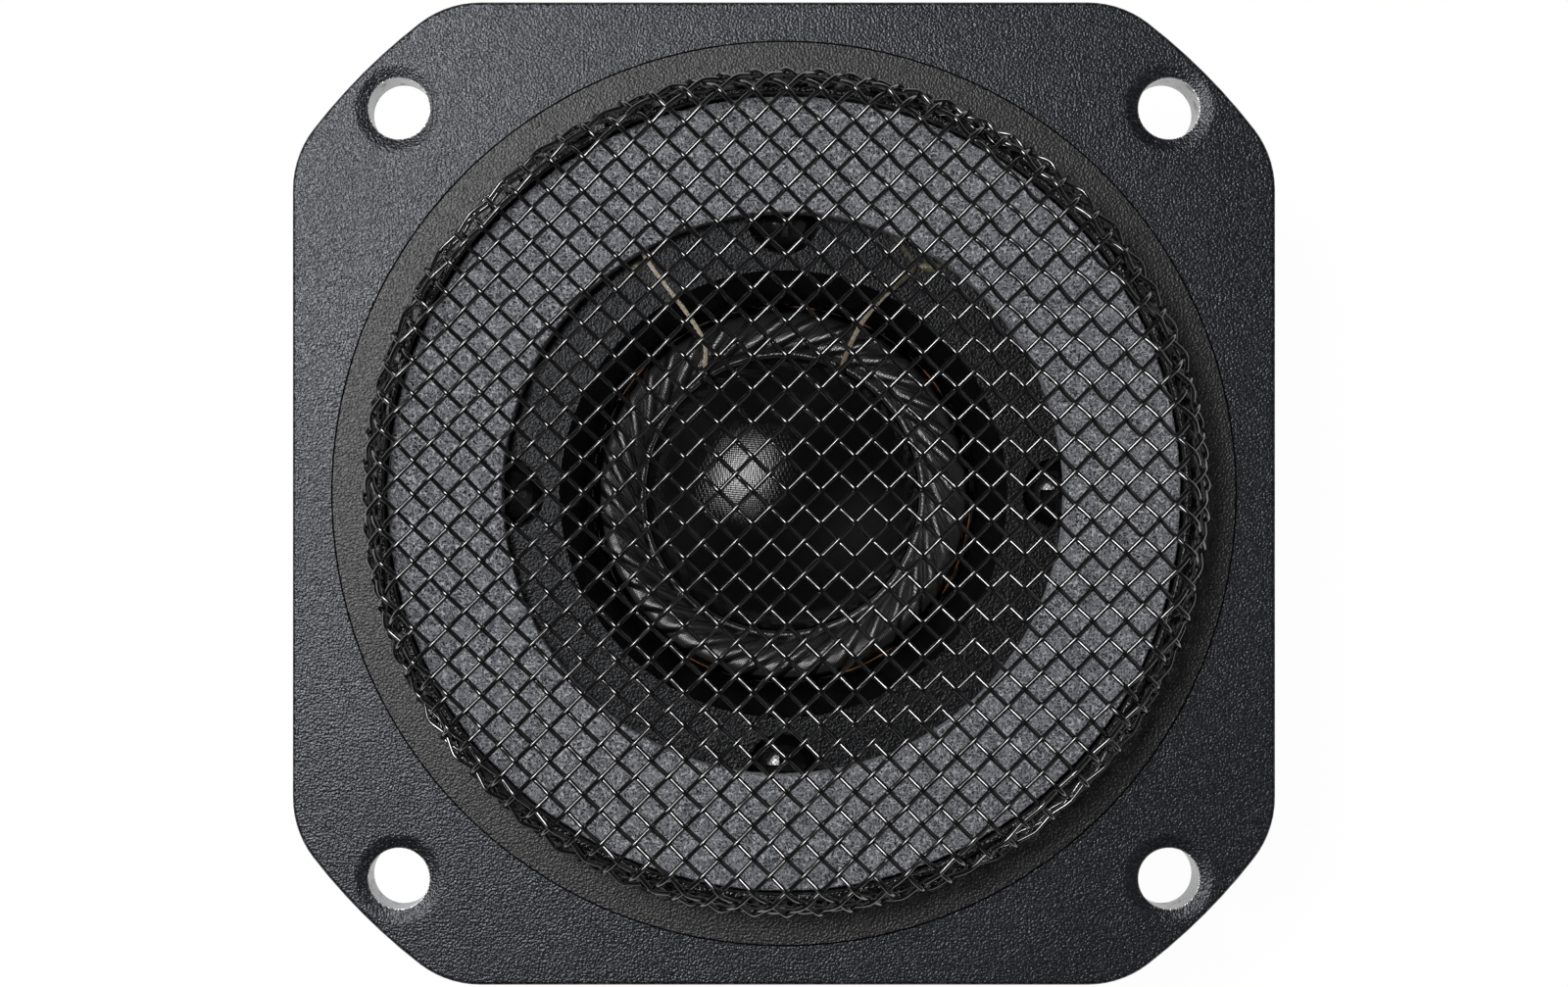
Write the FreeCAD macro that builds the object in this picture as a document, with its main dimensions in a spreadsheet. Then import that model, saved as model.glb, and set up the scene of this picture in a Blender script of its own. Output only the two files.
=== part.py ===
import FreeCAD, Part
import math
import os
from types import SimpleNamespace

import Sketcher

V = FreeCAD.Vector

# A soft dome tweeter on a square, screw-in faceplate with a woven wire grille.
# The frame: the origin is the centre of the faceplate's rear face, which lies on the baffle, and
# +Z points out of the front, towards the listener. The terminals are on the +Y side.
# The sizes run outwards from the voice coil: coil, dome, surround, cone, screws, felt, grille.

# ---------------------------------------------------------------- driving dimensions, in mm

DIMENSIONS = {
    # voice coil and dome
    "coil_radius": 14.6,  # inside of the coil former
    "former_wall": 0.25,
    "former_tail": 0.5,  # bare former below the winding
    "winding_wall": 0.5,
    "winding_height": 3.0,
    "gap_clearance": 0.4,  # each side of the coil, in the magnet's gap
    "dome_height": 5.0,
    "dome_wall": 0.4,
    # surround
    "surround_gap": 0.1,  # from the former to the surround's inner lip
    "surround_width": 5.95,  # from the dome's edge to the foot of the faceplate's cone
    "surround_wall": 0.35,
    "surround_rim": 1.8,  # part of the surround that the flange holds
    "surround_rim_gap": 0.2,
    "roll_radius": 2.25,
    "roll_lip": 0.5,  # flat lip inside the roll
    "bead_width": 0.5,
    "bead_height": 0.25,
    "bead_gap": 0.05,
    # faceplate
    "plate_width": 104.0,
    "plate_thickness": 5.0,
    "plate_clip": 5.37,  # mounting hole's centre to the circle that clips the square's corners
    "plate_corner_blend": 10.5,
    "plate_edge_round": 0.4,
    "hole_edge_distance": 11.25,  # mounting hole's centre to the plate's side
    "hole_diameter": 6.5,
    "dish_diameter": 9.2,
    "dish_angle": 152.0,
    "dish_round": 2.0,
    "pocket_depth": 2.5,  # front of the plate to the floor round the dome
    "cone_width": 3.1,
    "screw_band": 5.5,  # cone's top edge to the clamp screws' circle
    "seat_width": 5.7,  # the grille ring's seat
    "seat_depth": 1.5,
    "seat_gap": 0.18,  # the dark line round the grille ring
    "boss_depth": 3.0,
    "boss_margin": 1.6,  # boss beyond the terminal board
    "cavity_depth": 2.0,  # rear cavity for the diaphragm's flange and gasket
    "cavity_margin": 4.2,  # screw circle to the cavity's wall
    # diaphragm's flange and gasket
    "flange_thickness": 1.2,
    "flange_gap": 0.2,
    "gasket_inset": 0.7,
    # clamp screws
    "screw_radius": 1.95,
    "screw_hole_radius": 2.25,
    "screw_tap_gap": 0.05,
    "screw_length": 8.0,
    "screw_head_radius": 3.5,
    "screw_head_height": 2.4,
    "screw_well_radius": 3.9,
    "screw_well_floor": 1.0,  # plate left under a screw's head
    # felt and grille
    "felt_cover": 1.76,  # the lead holes' circle to the felt's outer edge
    "felt_width": 12.2,
    "felt_thickness": 2.5,
    "felt_gap": 0.2,
    "felt_channel_width": 1.2,
    "felt_channel_depth": 0.8,
    "lip_wall": 0.7,
    "lip_height": 1.5,
    "screen_gap": 0.1,
    "screen_wall": 1.0,  # two wires where they cross
    "screen_skirt": 6.0,  # upright part of the grille
    "screen_shoulder": 3.5,
    "screen_crown": 1.2,
    # leads
    "lead_radius": 0.3,
    "lead_bend": 0.6,
    "lead_gap": 0.05,  # under a lead that lies on the floor
    "lead_hole_radius": 0.9,
    "lead_hole_spread": 11.4,  # degrees either side of the terminals' middle
    "sleeve_wall": 0.4,
    "sleeve_gap": 0.05,
    "sleeve_top": 1.5,  # below the floor
    # terminals
    "terminal_angle": 105.0,
    "board_gap": 0.8,  # magnet to board
    "board_width": 6.1,
    "board_length": 20.0,
    "board_thickness": 1.6,
    "tag_thickness": 0.5,
    "tag_length": 8.0,
    "tag_width": 5.8,
    "tag_offset": 6.3,
    "blade_positive": 4.8,
    "blade_negative": 2.8,
    "rivet_offset": 5.0,
    "rivet_radius": 1.1,
    "rivet_bore": 0.7,
    "rivet_head_radius": 1.7,
    "rivet_head_height": 0.4,
    "solder_radius": 0.9,
    "solder_height": 0.8,
    "board_screw_radius": 1.4,
    "board_screw_length": 5.0,
    "board_screw_head_radius": 2.5,
    "board_screw_head_height": 1.7,
    "fit_gap": 0.05,
    # magnet system
    "plate_land": 2.4,  # how far the top plate reaches under the boss
    "top_plate_thickness": 6.0,
    "magnet_overhang": 1.0,
    "magnet_thickness": 15.0,
    "magnet_bore": 19.0,
    "back_plate_thickness": 6.0,
    "motor_chamfer": 0.8,
    "spigot_radius": 6.0,
    "spigot_gap": 0.02,
    "damper_radius": 12.0,
    "damper_thickness": 2.0,
}

# a lead's points: angle in degrees, the ring it is measured from, mm beyond that ring, level, mm above
ON_FLOOR = "floor"
ON_DIAPHRAGM = "diaphragm"
LEFT_LEAD = [
    (120.4, "felt", 1.6, ON_FLOOR, 0.0),
    (120.2, "felt", -1.9, ON_FLOOR, 0.0),
    (118.9, "cone", 0.1, ON_FLOOR, 0.1),
    (117.4, "foot", -0.6, ON_DIAPHRAGM, 3.3),
    (117.3, "roll", 0.2, ON_DIAPHRAGM, 3.0),
    (123.3, "dome", 0.45, ON_DIAPHRAGM, 0.7),
]
RIGHT_LEAD = [
    (67.8, "felt", 0.4, ON_FLOOR, 0.0),
    (63.3, "felt", -0.9, ON_FLOOR, 0.0),
    (59.4, "felt", -1.7, ON_FLOOR, 0.0),
    (60.9, "cone", 2.0, ON_FLOOR, 0.0),
    (63.8, "cone", -1.0, ON_FLOOR, 0.0),
    (65.5, "foot", -0.8, ON_DIAPHRAGM, 3.4),
    (65.9, "roll", 0.2, ON_DIAPHRAGM, 3.0),
    (65.3, "dome", 0.45, ON_DIAPHRAGM, 0.7),
]
# dried adhesive on the floor beside each lead: angle, mm beyond the felt's inner edge, and radius
DABS = [(123.2, -1.1, 0.8), (56.3, -1.2, 0.9)]
DAB_RISE = 0.45

doc = FreeCAD.newDocument("tweeter")
sheet = doc.addObject("Spreadsheet::Sheet", "Dims")
for row, (name, value) in enumerate(DIMENSIONS.items(), start=1):
    sheet.set(f"A{row}", name)
    sheet.set(f"B{row}", f"{value:g}")
    sheet.setAlias(f"B{row}", name)
doc.recompute()


class Size:
    """A size as an expression on the sheet, with the value that it has now."""

    def __init__(self, text, value):
        self.text = text
        self.value = value

    def __add__(self, other):
        other = as_size(other)
        return Size(f"({self.text} + {other.text})", self.value + other.value)

    def __sub__(self, other):
        other = as_size(other)
        return Size(f"({self.text} - {other.text})", self.value - other.value)

    def __mul__(self, other):
        other = as_size(other)
        return Size(f"({self.text} * {other.text})", self.value * other.value)

    def __truediv__(self, other):
        other = as_size(other)
        return Size(f"({self.text} / {other.text})", self.value / other.value)

    def __neg__(self):
        return Size(f"(0 - {self.text})", -self.value)


def as_size(value):
    return value if isinstance(value, Size) else Size(f"({value:.9g})", value)


def root(size):
    return Size(f"sqrt({size.text})", math.sqrt(size.value))


def polar(radius, angle):
    """The x and y of a point at a radius and an angle in degrees."""
    turn = math.radians(angle.value)
    x = Size(f"({radius.text} * cos({angle.text} * 1 deg))", radius.value * math.cos(turn))
    y = Size(f"({radius.text} * sin({angle.text} * 1 deg))", radius.value * math.sin(turn))
    return x, y


D = SimpleNamespace(**{name: Size(f"Dims.{name}", value) for name, value in DIMENSIONS.items()})

# ---------------------------------------------------------------- sizes that several pieces share

former_outer = D.coil_radius + D.former_wall
winding_outer = former_outer + D.winding_wall
cone_foot = former_outer + D.surround_width
cone_top = cone_foot + D.cone_width
screw_circle = cone_top + D.screw_band
cavity_radius = screw_circle + D.cavity_margin
flange_outer = cavity_radius - D.flange_gap
top_plate_radius = cavity_radius + D.plate_land
magnet_radius = top_plate_radius + D.magnet_overhang
board_inner = magnet_radius + D.board_gap
board_outer = board_inner + D.board_width
lead_hole_circle = board_inner + D.board_width * 0.4
felt_outer = lead_hole_circle + D.felt_cover
felt_inner = felt_outer - D.felt_width
pocket_radius = felt_outer + D.felt_gap
seat_radius = pocket_radius + D.seat_width
boss_radius = root(board_outer * board_outer + D.board_length * D.board_length / 4) + D.boss_margin / 4
rebate_radius = cone_foot + D.surround_rim
roll_middle = former_outer + D.surround_gap + D.roll_lip + D.roll_radius
hole_reach = D.plate_width / 2 - D.hole_edge_distance
clip_radius = root(hole_reach * hole_reach * 2) + D.plate_clip

floor_z = D.plate_thickness - D.pocket_depth
seat_z = D.plate_thickness - D.seat_depth
boss_z = -D.boss_depth
diaphragm_z = boss_z + D.cavity_depth
surround_z = diaphragm_z - D.surround_wall
flange_z = diaphragm_z - D.flange_thickness
well_z = diaphragm_z + D.screw_well_floor
top_plate_z = boss_z - D.top_plate_thickness
magnet_z = top_plate_z - D.magnet_thickness
back_z = magnet_z - D.back_plate_thickness
board_z = boss_z - D.board_thickness
tag_z = board_z - D.tag_thickness
winding_middle = boss_z - D.top_plate_thickness / 2
winding_low = winding_middle - D.winding_height / 2

LEAD_RINGS = {
    "felt": felt_inner,
    "cone": cone_top,
    "foot": cone_foot,
    "roll": roll_middle,
    "dome": former_outer,
}
lead_angles = (D.terminal_angle + D.lead_hole_spread, D.terminal_angle - D.lead_hole_spread)
lead_holes = [polar(lead_hole_circle, angle) for angle in lead_angles]


def lead_place(angle, ring, beyond):
    """The x and y of a lead's point."""
    return polar(LEAD_RINGS[ring] + beyond, as_size(angle))


# ---------------------------------------------------------------- sketches and features


def new_body(label, many=False):
    """A sub-part; many lets it hold several separate solids, as a set of screws does."""
    body = doc.addObject("PartDesign::Body", label)
    body.Label = label
    body.AllowCompound = many
    return body


def sketch_on(body, role, lift=None):
    """A sketch on one of the body's own planes, lifted along the plane's normal."""
    sketch = body.newObject("Sketcher::SketchObject", f"{body.Label}_sketch")
    plane = next(item for item in body.Origin.OriginFeatures if item.Role == role)
    sketch.AttachmentSupport = (plane, [""])
    sketch.MapMode = "FlatFace"
    if lift is not None:
        sketch.setExpression(".AttachmentOffset.Base.z", lift.text)
    return sketch


def tie(sketch, kind, references, size):
    """A dimension whose value follows the sheet."""
    index = sketch.addConstraint(Sketcher.Constraint(kind, *references, size.value))
    sketch.setExpression(f"Constraints[{index}]", size.text)


def place_point(sketch, geometry, end, point):
    """Fixes a point; a coordinate of exactly 0 puts it on the axis, and None leaves it free."""
    for kind, value, axis in zip(("DistanceX", "DistanceY"), point, (-2, -1)):
        if value is None:
            continue
        if isinstance(value, Size):
            tie(sketch, kind, (-1, 1, geometry, end), value)
        else:
            sketch.addConstraint(Sketcher.Constraint("PointOnObject", geometry, end, axis))


def number(value):
    return value.value if isinstance(value, Size) else value


def arc_centre(start, finish, centre):
    """The arc's centre, from its two ends and the one coordinate that is given."""
    dx, dy = finish[0] - start[0], finish[1] - start[1]
    total = (finish[0] ** 2 + finish[1] ** 2 - start[0] ** 2 - start[1] ** 2) / 2
    if centre[0] is not None:
        x = number(centre[0])
        return x, (total - x * dx) / dy
    y = number(centre[1])
    return (total - y * dy) / dx, y


def add_arc(sketch, start, finish, centre, turn):
    """An arc from start to finish; turn is 1 against the clock and -1 with it."""
    x, y = arc_centre(start, finish, centre)
    radius = math.hypot(start[0] - x, start[1] - y)
    angles = [math.atan2(p[1] - y, p[0] - x) for p in (start, finish)][::turn]
    if angles[1] < angles[0]:
        angles[1] += 2 * math.pi
    circle = Part.Circle(V(x, y, 0), V(0, 0, 1), radius)
    geometry = sketch.addGeometry(Part.ArcOfCircle(circle, *angles))
    place_point(sketch, geometry, 3, centre)
    return geometry


def draw_loop(sketch, corners):
    """A closed outline. A corner is (x, y), or (x, y, centre, turn) where an arc leads on from it."""
    segments = []
    for corner, following in zip(corners, corners[1:] + corners[:1]):
        start = tuple(number(value) for value in corner[:2])
        finish = tuple(number(value) for value in following[:2])
        if len(corner) == 2:
            line = Part.LineSegment(V(*start, 0), V(*finish, 0))
            segments.append((sketch.addGeometry(line), 1, 2))
        else:
            ends = (1, 2)[:: corner[3]]
            segments.append((add_arc(sketch, start, finish, corner[2], corner[3]), *ends))
    for (one, _, end), (other, begin, _) in zip(segments, segments[1:] + segments[:1]):
        sketch.addConstraint(Sketcher.Constraint("Coincident", one, end, other, begin))
    for corner, (geometry, begin, _) in zip(corners, segments):
        place_point(sketch, geometry, begin, corner[:2])


def draw_circle(sketch, x, y, radius):
    circle = Part.Circle(V(number(x), number(y), 0), V(0, 0, 1), radius.value)
    geometry = sketch.addGeometry(circle)
    place_point(sketch, geometry, 3, (x, y))
    tie(sketch, "Radius", (geometry,), radius)


def add_feature(body, kind, sketch, **settings):
    """A feature made from a sketch; settings that are sizes follow the sheet."""
    feature = body.newObject(f"PartDesign::{kind}", f"{body.Label}_{kind}")
    feature.Profile = sketch
    for key, value in settings.items():
        if isinstance(value, Size):
            feature.setExpression(key, value.text)
        else:
            setattr(feature, key, value)
    doc.recompute()
    return feature


def rectangle(left, low, right, high):
    return [(left, low), (right, low), (right, high), (left, high)]


def turn_profile(body, corners, kind="Revolution"):
    """Turns a closed half-section, given as radius and height, round the Z axis."""
    sketch = sketch_on(body, "XZ_Plane")
    draw_loop(sketch, corners)
    return add_feature(body, kind, sketch, ReferenceAxis=(sketch, ["V_Axis"]), Angle=360.0)


def turned(label, corners):
    """A sub-part that is one turned section."""
    body = new_body(label)
    turn_profile(body, corners)
    return body


def round_edges(body, feature, test, radius, kind="Fillet"):
    """Rounds or chamfers the edges of a feature that pass a test."""
    names = [f"Edge{i}" for i, edge in enumerate(feature.Shape.Edges, start=1) if test(edge)]
    dressed = body.newObject(f"PartDesign::{kind}", f"{body.Label}_{kind}")
    dressed.Base = (feature, names)
    size_key = "Radius" if kind == "Fillet" else "Size"
    dressed.setExpression(size_key, radius.text)
    doc.recompute()
    return dressed


def is_circle(edge, radius, height, centred=True):
    """Whether an edge is a whole circle of that radius at that height."""
    curve = edge.Curve
    if not isinstance(curve, Part.Circle) or abs(curve.Radius - number(radius)) > 1e-4:
        return False
    on_axis = math.hypot(curve.Center.x, curve.Center.y) < 1e-4
    return abs(curve.Center.z - number(height)) < 1e-4 and on_axis == centred


def four_round(radius):
    """Four points on the axes at a radius."""
    return [(radius, 0), (0, radius), (-radius, 0), (0, -radius)]


def drill(body, points, radius, from_z, length=None, upwards=False):
    """Round holes from a height, right through where no length is given."""
    sketch = sketch_on(body, "XY_Plane", from_z)
    for x, y in points:
        draw_circle(sketch, x, y, radius)
    reach = {"Type": "ThroughAll"} if length is None else {"Length": length}
    return add_feature(body, "Pocket", sketch, Reversed=upwards, **reach)


def extrude(body, outlines, circles, from_z, length, upwards=True):
    """A slab of some outlines, with circles as holes in them or as discs of their own."""
    sketch = sketch_on(body, "XY_Plane", from_z)
    for corners in outlines:
        draw_loop(sketch, corners)
    for x, y, radius in circles:
        draw_circle(sketch, x, y, radius)
    return add_feature(body, "Pad", sketch, Length=length, Reversed=not upwards)


def turn_to_terminals(body):
    """Places a piece that is drawn along +X at the terminals' angle."""
    body.Placement = FreeCAD.Placement(V(0, 0, 0), FreeCAD.Rotation(V(0, 0, 1), 1))
    body.setExpression(".Placement.Rotation.Angle", f"{D.terminal_angle.text} * 1 deg")
    return body


def feature_piece(label, shape):
    """A sub-part whose shape comes from Part's own functions."""
    piece = doc.addObject("Part::Feature", label)
    piece.Label = label
    piece.Shape = shape
    piece.Placement = FreeCAD.Placement()
    return piece


# ---------------------------------------------------------------- faceplate and what it carries


def make_faceplate():
    """Cast plate: clipped square, grille seat, felt pocket, cone, rear boss and cavity, holes."""
    body = new_body("faceplate")
    half = D.plate_width / 2
    extrude(body, [rectangle(-half, -half, half, half)], [], as_size(0), D.plate_thickness)
    clip = sketch_on(body, "XY_Plane")
    draw_circle(clip, 0, 0, clip_radius)
    draw_circle(clip, 0, 0, D.plate_width)
    clipped = add_feature(body, "Pocket", clip, Type="ThroughAll", Reversed=True)
    blended = round_edges(body, clipped, is_upright, D.plate_corner_blend)
    softened = round_edges(body, blended, is_front_outline, D.plate_edge_round)
    extrude(body, [], [(0, 0, boss_radius)], as_size(0), D.boss_depth, upwards=False)
    beyond = D.plate_thickness
    section = [
        (0, boss_z - beyond),
        (cavity_radius, boss_z - beyond),
        (cavity_radius, diaphragm_z),
        (cone_foot, diaphragm_z),
        (cone_top, floor_z),
        (pocket_radius, floor_z),
        (pocket_radius, seat_z),
        (seat_radius, seat_z),
        (seat_radius, D.plate_thickness + beyond),
        (0, D.plate_thickness + beyond),
    ]
    turn_profile(body, section, kind="Groove")
    drill(body, four_round(screw_circle), D.screw_well_radius, floor_z, floor_z - well_z)
    drill(body, four_round(screw_circle), D.screw_hole_radius, floor_z)
    drill(body, lead_holes, D.lead_hole_radius, floor_z)
    screw_x, screw_y = polar(board_middle(), D.terminal_angle)
    tapped = D.board_screw_radius + D.screw_tap_gap
    depth = D.board_screw_length - D.board_thickness + D.fit_gap
    drill(body, [(screw_x, screw_y)], tapped, boss_z, depth, upwards=True)
    add_mounting_holes(body)
    return body


def is_upright(edge):
    """Whether an edge runs straight from the plate's rear to its front."""
    box = edge.BoundBox
    return box.ZLength > 1 and box.XLength < 1e-6 and box.YLength < 1e-6


def is_front_outline(edge):
    return edge.BoundBox.ZMin > D.plate_thickness.value - 1e-6


def add_mounting_holes(body):
    """Four through holes, each in a shallow dish whose lip is rounded."""
    sketch = sketch_on(body, "XY_Plane", D.plate_thickness)
    for x in (-hole_reach, hole_reach):
        for y in (-hole_reach, hole_reach):
            draw_circle(sketch, x, y, D.hole_diameter / 2)
    doc.recompute()
    hole = add_feature(body, "Hole", sketch, DepthType="ThroughAll", ThreadType="None")
    hole.HoleCutType = "Countersink"
    hole.HoleCutCustomValues = True
    hole.setExpression("Diameter", D.hole_diameter.text)
    hole.setExpression("HoleCutDiameter", D.dish_diameter.text)
    hole.setExpression("HoleCutCountersinkAngle", D.dish_angle.text)
    doc.recompute()
    dish = D.dish_diameter / 2
    rims = lambda edge: is_circle(edge, dish, D.plate_thickness, centred=False)
    return round_edges(body, hole, rims, D.dish_round)


def board_middle():
    return board_inner + D.board_width / 2


def make_grille_ring():
    """Flat ring flush in the plate, with the lip that the wire cap sits round."""
    outer = seat_radius - D.seat_gap
    lip_outer = pocket_radius + D.lip_wall
    lip_z = D.plate_thickness + D.lip_height
    body = new_body("grille_ring")
    section = [
        (pocket_radius, seat_z),
        (outer, seat_z),
        (outer, D.plate_thickness),
        (lip_outer, D.plate_thickness),
        (lip_outer, lip_z),
        (pocket_radius, lip_z),
    ]
    ring = turn_profile(body, section)
    lip_edges = lambda edge: abs(edge.BoundBox.ZMin - lip_z.value) < 1e-6
    round_edges(body, ring, lip_edges, D.lip_wall / 3)
    return body


def make_grille_screen():
    """The wire cap's own space: an upright skirt, a rounded shoulder and a barely crowned top."""
    inner = pocket_radius + D.lip_wall + D.screen_gap
    outer = inner + D.screen_wall
    shoulder_x = outer - D.screen_shoulder
    shoulder_z = D.plate_thickness + D.screen_skirt
    edge_z = shoulder_z + D.screen_shoulder
    crown_z = edge_z + D.screen_crown
    section = [
        (inner, D.plate_thickness),
        (outer, D.plate_thickness),
        (outer, shoulder_z, (shoulder_x, None), 1),
        (shoulder_x, edge_z, (0, None), 1),
        (0, crown_z),
        (0, crown_z - D.screen_wall, (0, None), -1),
        (shoulder_x, edge_z - D.screen_wall, (shoulder_x, None), -1),
        (inner, shoulder_z),
    ]
    return turned("grille_screen", section)


def channel_corners(start, finish):
    """A strip under the felt along one stretch of a lead."""
    dx = finish[0] - start[0]
    dy = finish[1] - start[1]
    length = root(dx * dx + dy * dy)
    along = (dx / length * D.lead_hole_radius, dy / length * D.lead_hole_radius)
    aside = (dy / length * D.felt_channel_width / 2, dx / length * D.felt_channel_width / 2)
    ends = ((start[0] - along[0], start[1] - along[1]), (finish[0] + along[0], finish[1] + along[1]))
    (ax, ay), (bx, by) = ends
    return [
        (ax + aside[0], ay - aside[1]),
        (bx + aside[0], by - aside[1]),
        (bx - aside[0], by + aside[1]),
        (ax - aside[0], ay + aside[1]),
    ]


def make_felt_ring():
    """Damping felt, with a channel pressed in its underside by each lead."""
    body = new_body("felt_ring")
    turn_profile(body, rectangle(felt_inner, floor_z, felt_outer, floor_z + D.felt_thickness))
    for hole, lead in zip(lead_holes, (LEFT_LEAD, RIGHT_LEAD)):
        under, outside = [lead_place(*point[:3]) for point in lead[:2]]
        for start, finish in ((hole, under), (under, outside)):
            sketch = sketch_on(body, "XY_Plane", floor_z)
            draw_loop(sketch, channel_corners(start, finish))
            add_feature(body, "Pocket", sketch, Length=D.felt_channel_depth, Reversed=True)
    return body


# ---------------------------------------------------------------- screws


def add_pan_screw(body, centre_x, under_head, way, radius, length, head_radius, head_height):
    """A pan head screw on a line parallel to Z; way is 1 with its head up and -1 with it down."""
    sketch = sketch_on(body, "XZ_Plane")
    shoulder = head_height * 0.4
    tip = under_head - length * way
    crown = under_head + head_height * way
    ends = [V(centre_x.value, height.value, 0) for height in (tip, crown)]
    axis = sketch.addGeometry(Part.LineSegment(*ends), True)
    place_point(sketch, axis, 1, (centre_x, tip))
    place_point(sketch, axis, 2, (centre_x, crown))
    section = [
        (centre_x, tip),
        (centre_x + radius, tip),
        (centre_x + radius, under_head),
        (centre_x + head_radius, under_head),
        (centre_x + head_radius, under_head + shoulder * way, (centre_x, None), way),
        (centre_x, crown),
    ]
    draw_loop(sketch, section)
    screw = add_feature(body, "Revolution", sketch, ReferenceAxis=(sketch, ["Axis0"]), Angle=360.0)
    return screw, add_cross_recess(body, centre_x, crown, way, head_radius, head_height)


def add_cross_recess(body, centre_x, crown, way, head_radius, head_height):
    """The cross in a screw's head."""
    arm = head_radius * 0.55
    half = head_radius * 0.13
    sketch = sketch_on(body, "XY_Plane", crown)
    steps = [(arm, -half), (arm, half), (half, half), (half, arm), (-half, arm), (-half, half)]
    steps += [(-x, -y) for x, y in steps]
    draw_loop(sketch, [(centre_x + x, y) for x, y in steps])
    return add_feature(body, "Pocket", sketch, Length=head_height * 0.6, Reversed=way < 0)


def make_clamp_screws():
    """Four screws that clamp the diaphragm between the faceplate and the top plate."""
    body = new_body("clamp_screws", many=True)
    sizes = (D.screw_radius, D.screw_length, D.screw_head_radius, D.screw_head_height)
    features = add_pan_screw(body, screw_circle, well_z, 1, *sizes)
    pattern = body.newObject("PartDesign::PolarPattern", "clamp_screws_pattern")
    pattern.Originals = list(features)
    pattern.Axis = (features[0].Profile[0], ["V_Axis"])
    pattern.Angle = 360
    pattern.Occurrences = 4
    body.Tip = pattern
    return body


# ---------------------------------------------------------------- diaphragm


def make_diaphragm_flange():
    """Ring that carries the surround, with a rebate for its rim and four screw holes."""
    section = [
        (cone_foot, flange_z),
        (flange_outer, flange_z),
        (flange_outer, diaphragm_z),
        (rebate_radius, diaphragm_z),
        (rebate_radius, surround_z),
        (cone_foot, surround_z),
    ]
    body = turned("diaphragm_flange", section)
    drill(body, four_round(screw_circle), D.screw_hole_radius, diaphragm_z)
    return body


def make_flange_gasket():
    """Fibre gasket that fills the cavity between the flange and the top plate."""
    inner = cone_foot + D.gasket_inset
    body = turned("flange_gasket", rectangle(inner, boss_z, flange_outer, flange_z))
    drill(body, four_round(screw_circle), D.screw_hole_radius, flange_z)
    return body


def make_surround():
    """Half-roll with a flat rim; its pleats are not part of the solid."""
    inner = former_outer + D.surround_gap
    outer = rebate_radius - D.surround_rim_gap
    under = D.roll_radius - D.surround_wall
    crest = root(D.roll_radius * D.roll_radius - D.surround_wall * D.surround_wall)
    section = [
        (inner, surround_z),
        (roll_middle - under, surround_z, (None, surround_z), -1),
        (roll_middle + under, surround_z),
        (outer, surround_z),
        (outer, diaphragm_z),
        (roll_middle + crest, diaphragm_z, (None, surround_z), 1),
        (roll_middle - crest, diaphragm_z),
        (inner, diaphragm_z),
    ]
    return turned("surround", section)


def make_surround_bead():
    """Thin line of adhesive at the foot of the faceplate's cone."""
    outer = cone_foot - D.bead_gap
    corners = rectangle(outer - D.bead_width, diaphragm_z, outer, diaphragm_z + D.bead_height)
    return turned("surround_bead", corners)


def dome_ball():
    """The radius and the height of the centre of the ball that the dome is a cap of."""
    height = D.dome_height
    radius = (former_outer * former_outer + height * height) / (height * 2)
    return radius, diaphragm_z + height - radius


def make_dome():
    """Cap of doped cloth that stands on the end of the former."""
    radius, centre_z = dome_ball()
    inner_radius = radius - D.dome_wall
    drop = diaphragm_z - centre_z
    inner_edge = root(inner_radius * inner_radius - drop * drop)
    crown = diaphragm_z + D.dome_height
    section = [
        (inner_edge, diaphragm_z),
        (former_outer, diaphragm_z, (0, None), 1),
        (0, crown),
        (0, crown - D.dome_wall, (0, None), -1),
    ]
    return turned("dome", section)


def make_coil_former():
    low = winding_low - D.former_tail
    return turned("coil_former", rectangle(D.coil_radius, low, former_outer, diaphragm_z))


def make_voice_coil():
    high = winding_middle + D.winding_height / 2
    return turned("voice_coil", rectangle(former_outer, winding_low, winding_outer, high))


# ---------------------------------------------------------------- leads


def lead_height(base, above):
    """Height of a lead's middle above the floor or above the diaphragm's plane."""
    level = floor_z if base == ON_FLOOR else diaphragm_z
    return (level + D.lead_radius + D.lead_gap).value + above


def lead_points(hole, chosen):
    """From the solder on the terminal, up through the plate, and out along the floor."""
    x, y = hole[0].value, hole[1].value
    points = [V(x, y, tag_z.value), V(x, y, lead_height(ON_FLOOR, 0))]
    for angle, ring, beyond, base, above in chosen:
        px, py = lead_place(angle, ring, beyond)
        points.append(V(px.value, py.value, lead_height(base, above)))
    return points


def bend_radius(before, corner, after, limit):
    """The largest arc that the two runs allow, up to a limit."""
    one, two = corner - before, after - corner
    shorter = min(one.Length, two.Length)
    return min(0.45 * shorter / math.tan(one.getAngle(two) / 2), limit)


def lead_path(points):
    """Straight runs joined by arcs that touch both, and the bends' radii."""
    edges, radii = [], []
    last = points[0]
    for index, (before, corner, after) in enumerate(zip(points, points[1:], points[2:])):
        limit = DIMENSIONS["lead_bend"] if index == 0 else math.inf
        one = (before - corner).normalize()
        two = (after - corner).normalize()
        radius = bend_radius(before, corner, after, limit)
        half_turn = (corner - before).getAngle(after - corner) / 2
        cut = radius * math.tan(half_turn)
        start, finish = corner + one * cut, corner + two * cut
        inward = (one + two).normalize()
        middle = corner + inward * (radius / math.cos(half_turn) - radius)
        edges.append(Part.LineSegment(last, start).toShape())
        edges.append(Part.Arc(start, middle, finish).toShape())
        last = finish
        radii.append(round(radius, 2))
    edges.append(Part.LineSegment(last, points[-1]).toShape())
    return Part.Wire(edges), radii


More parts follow.
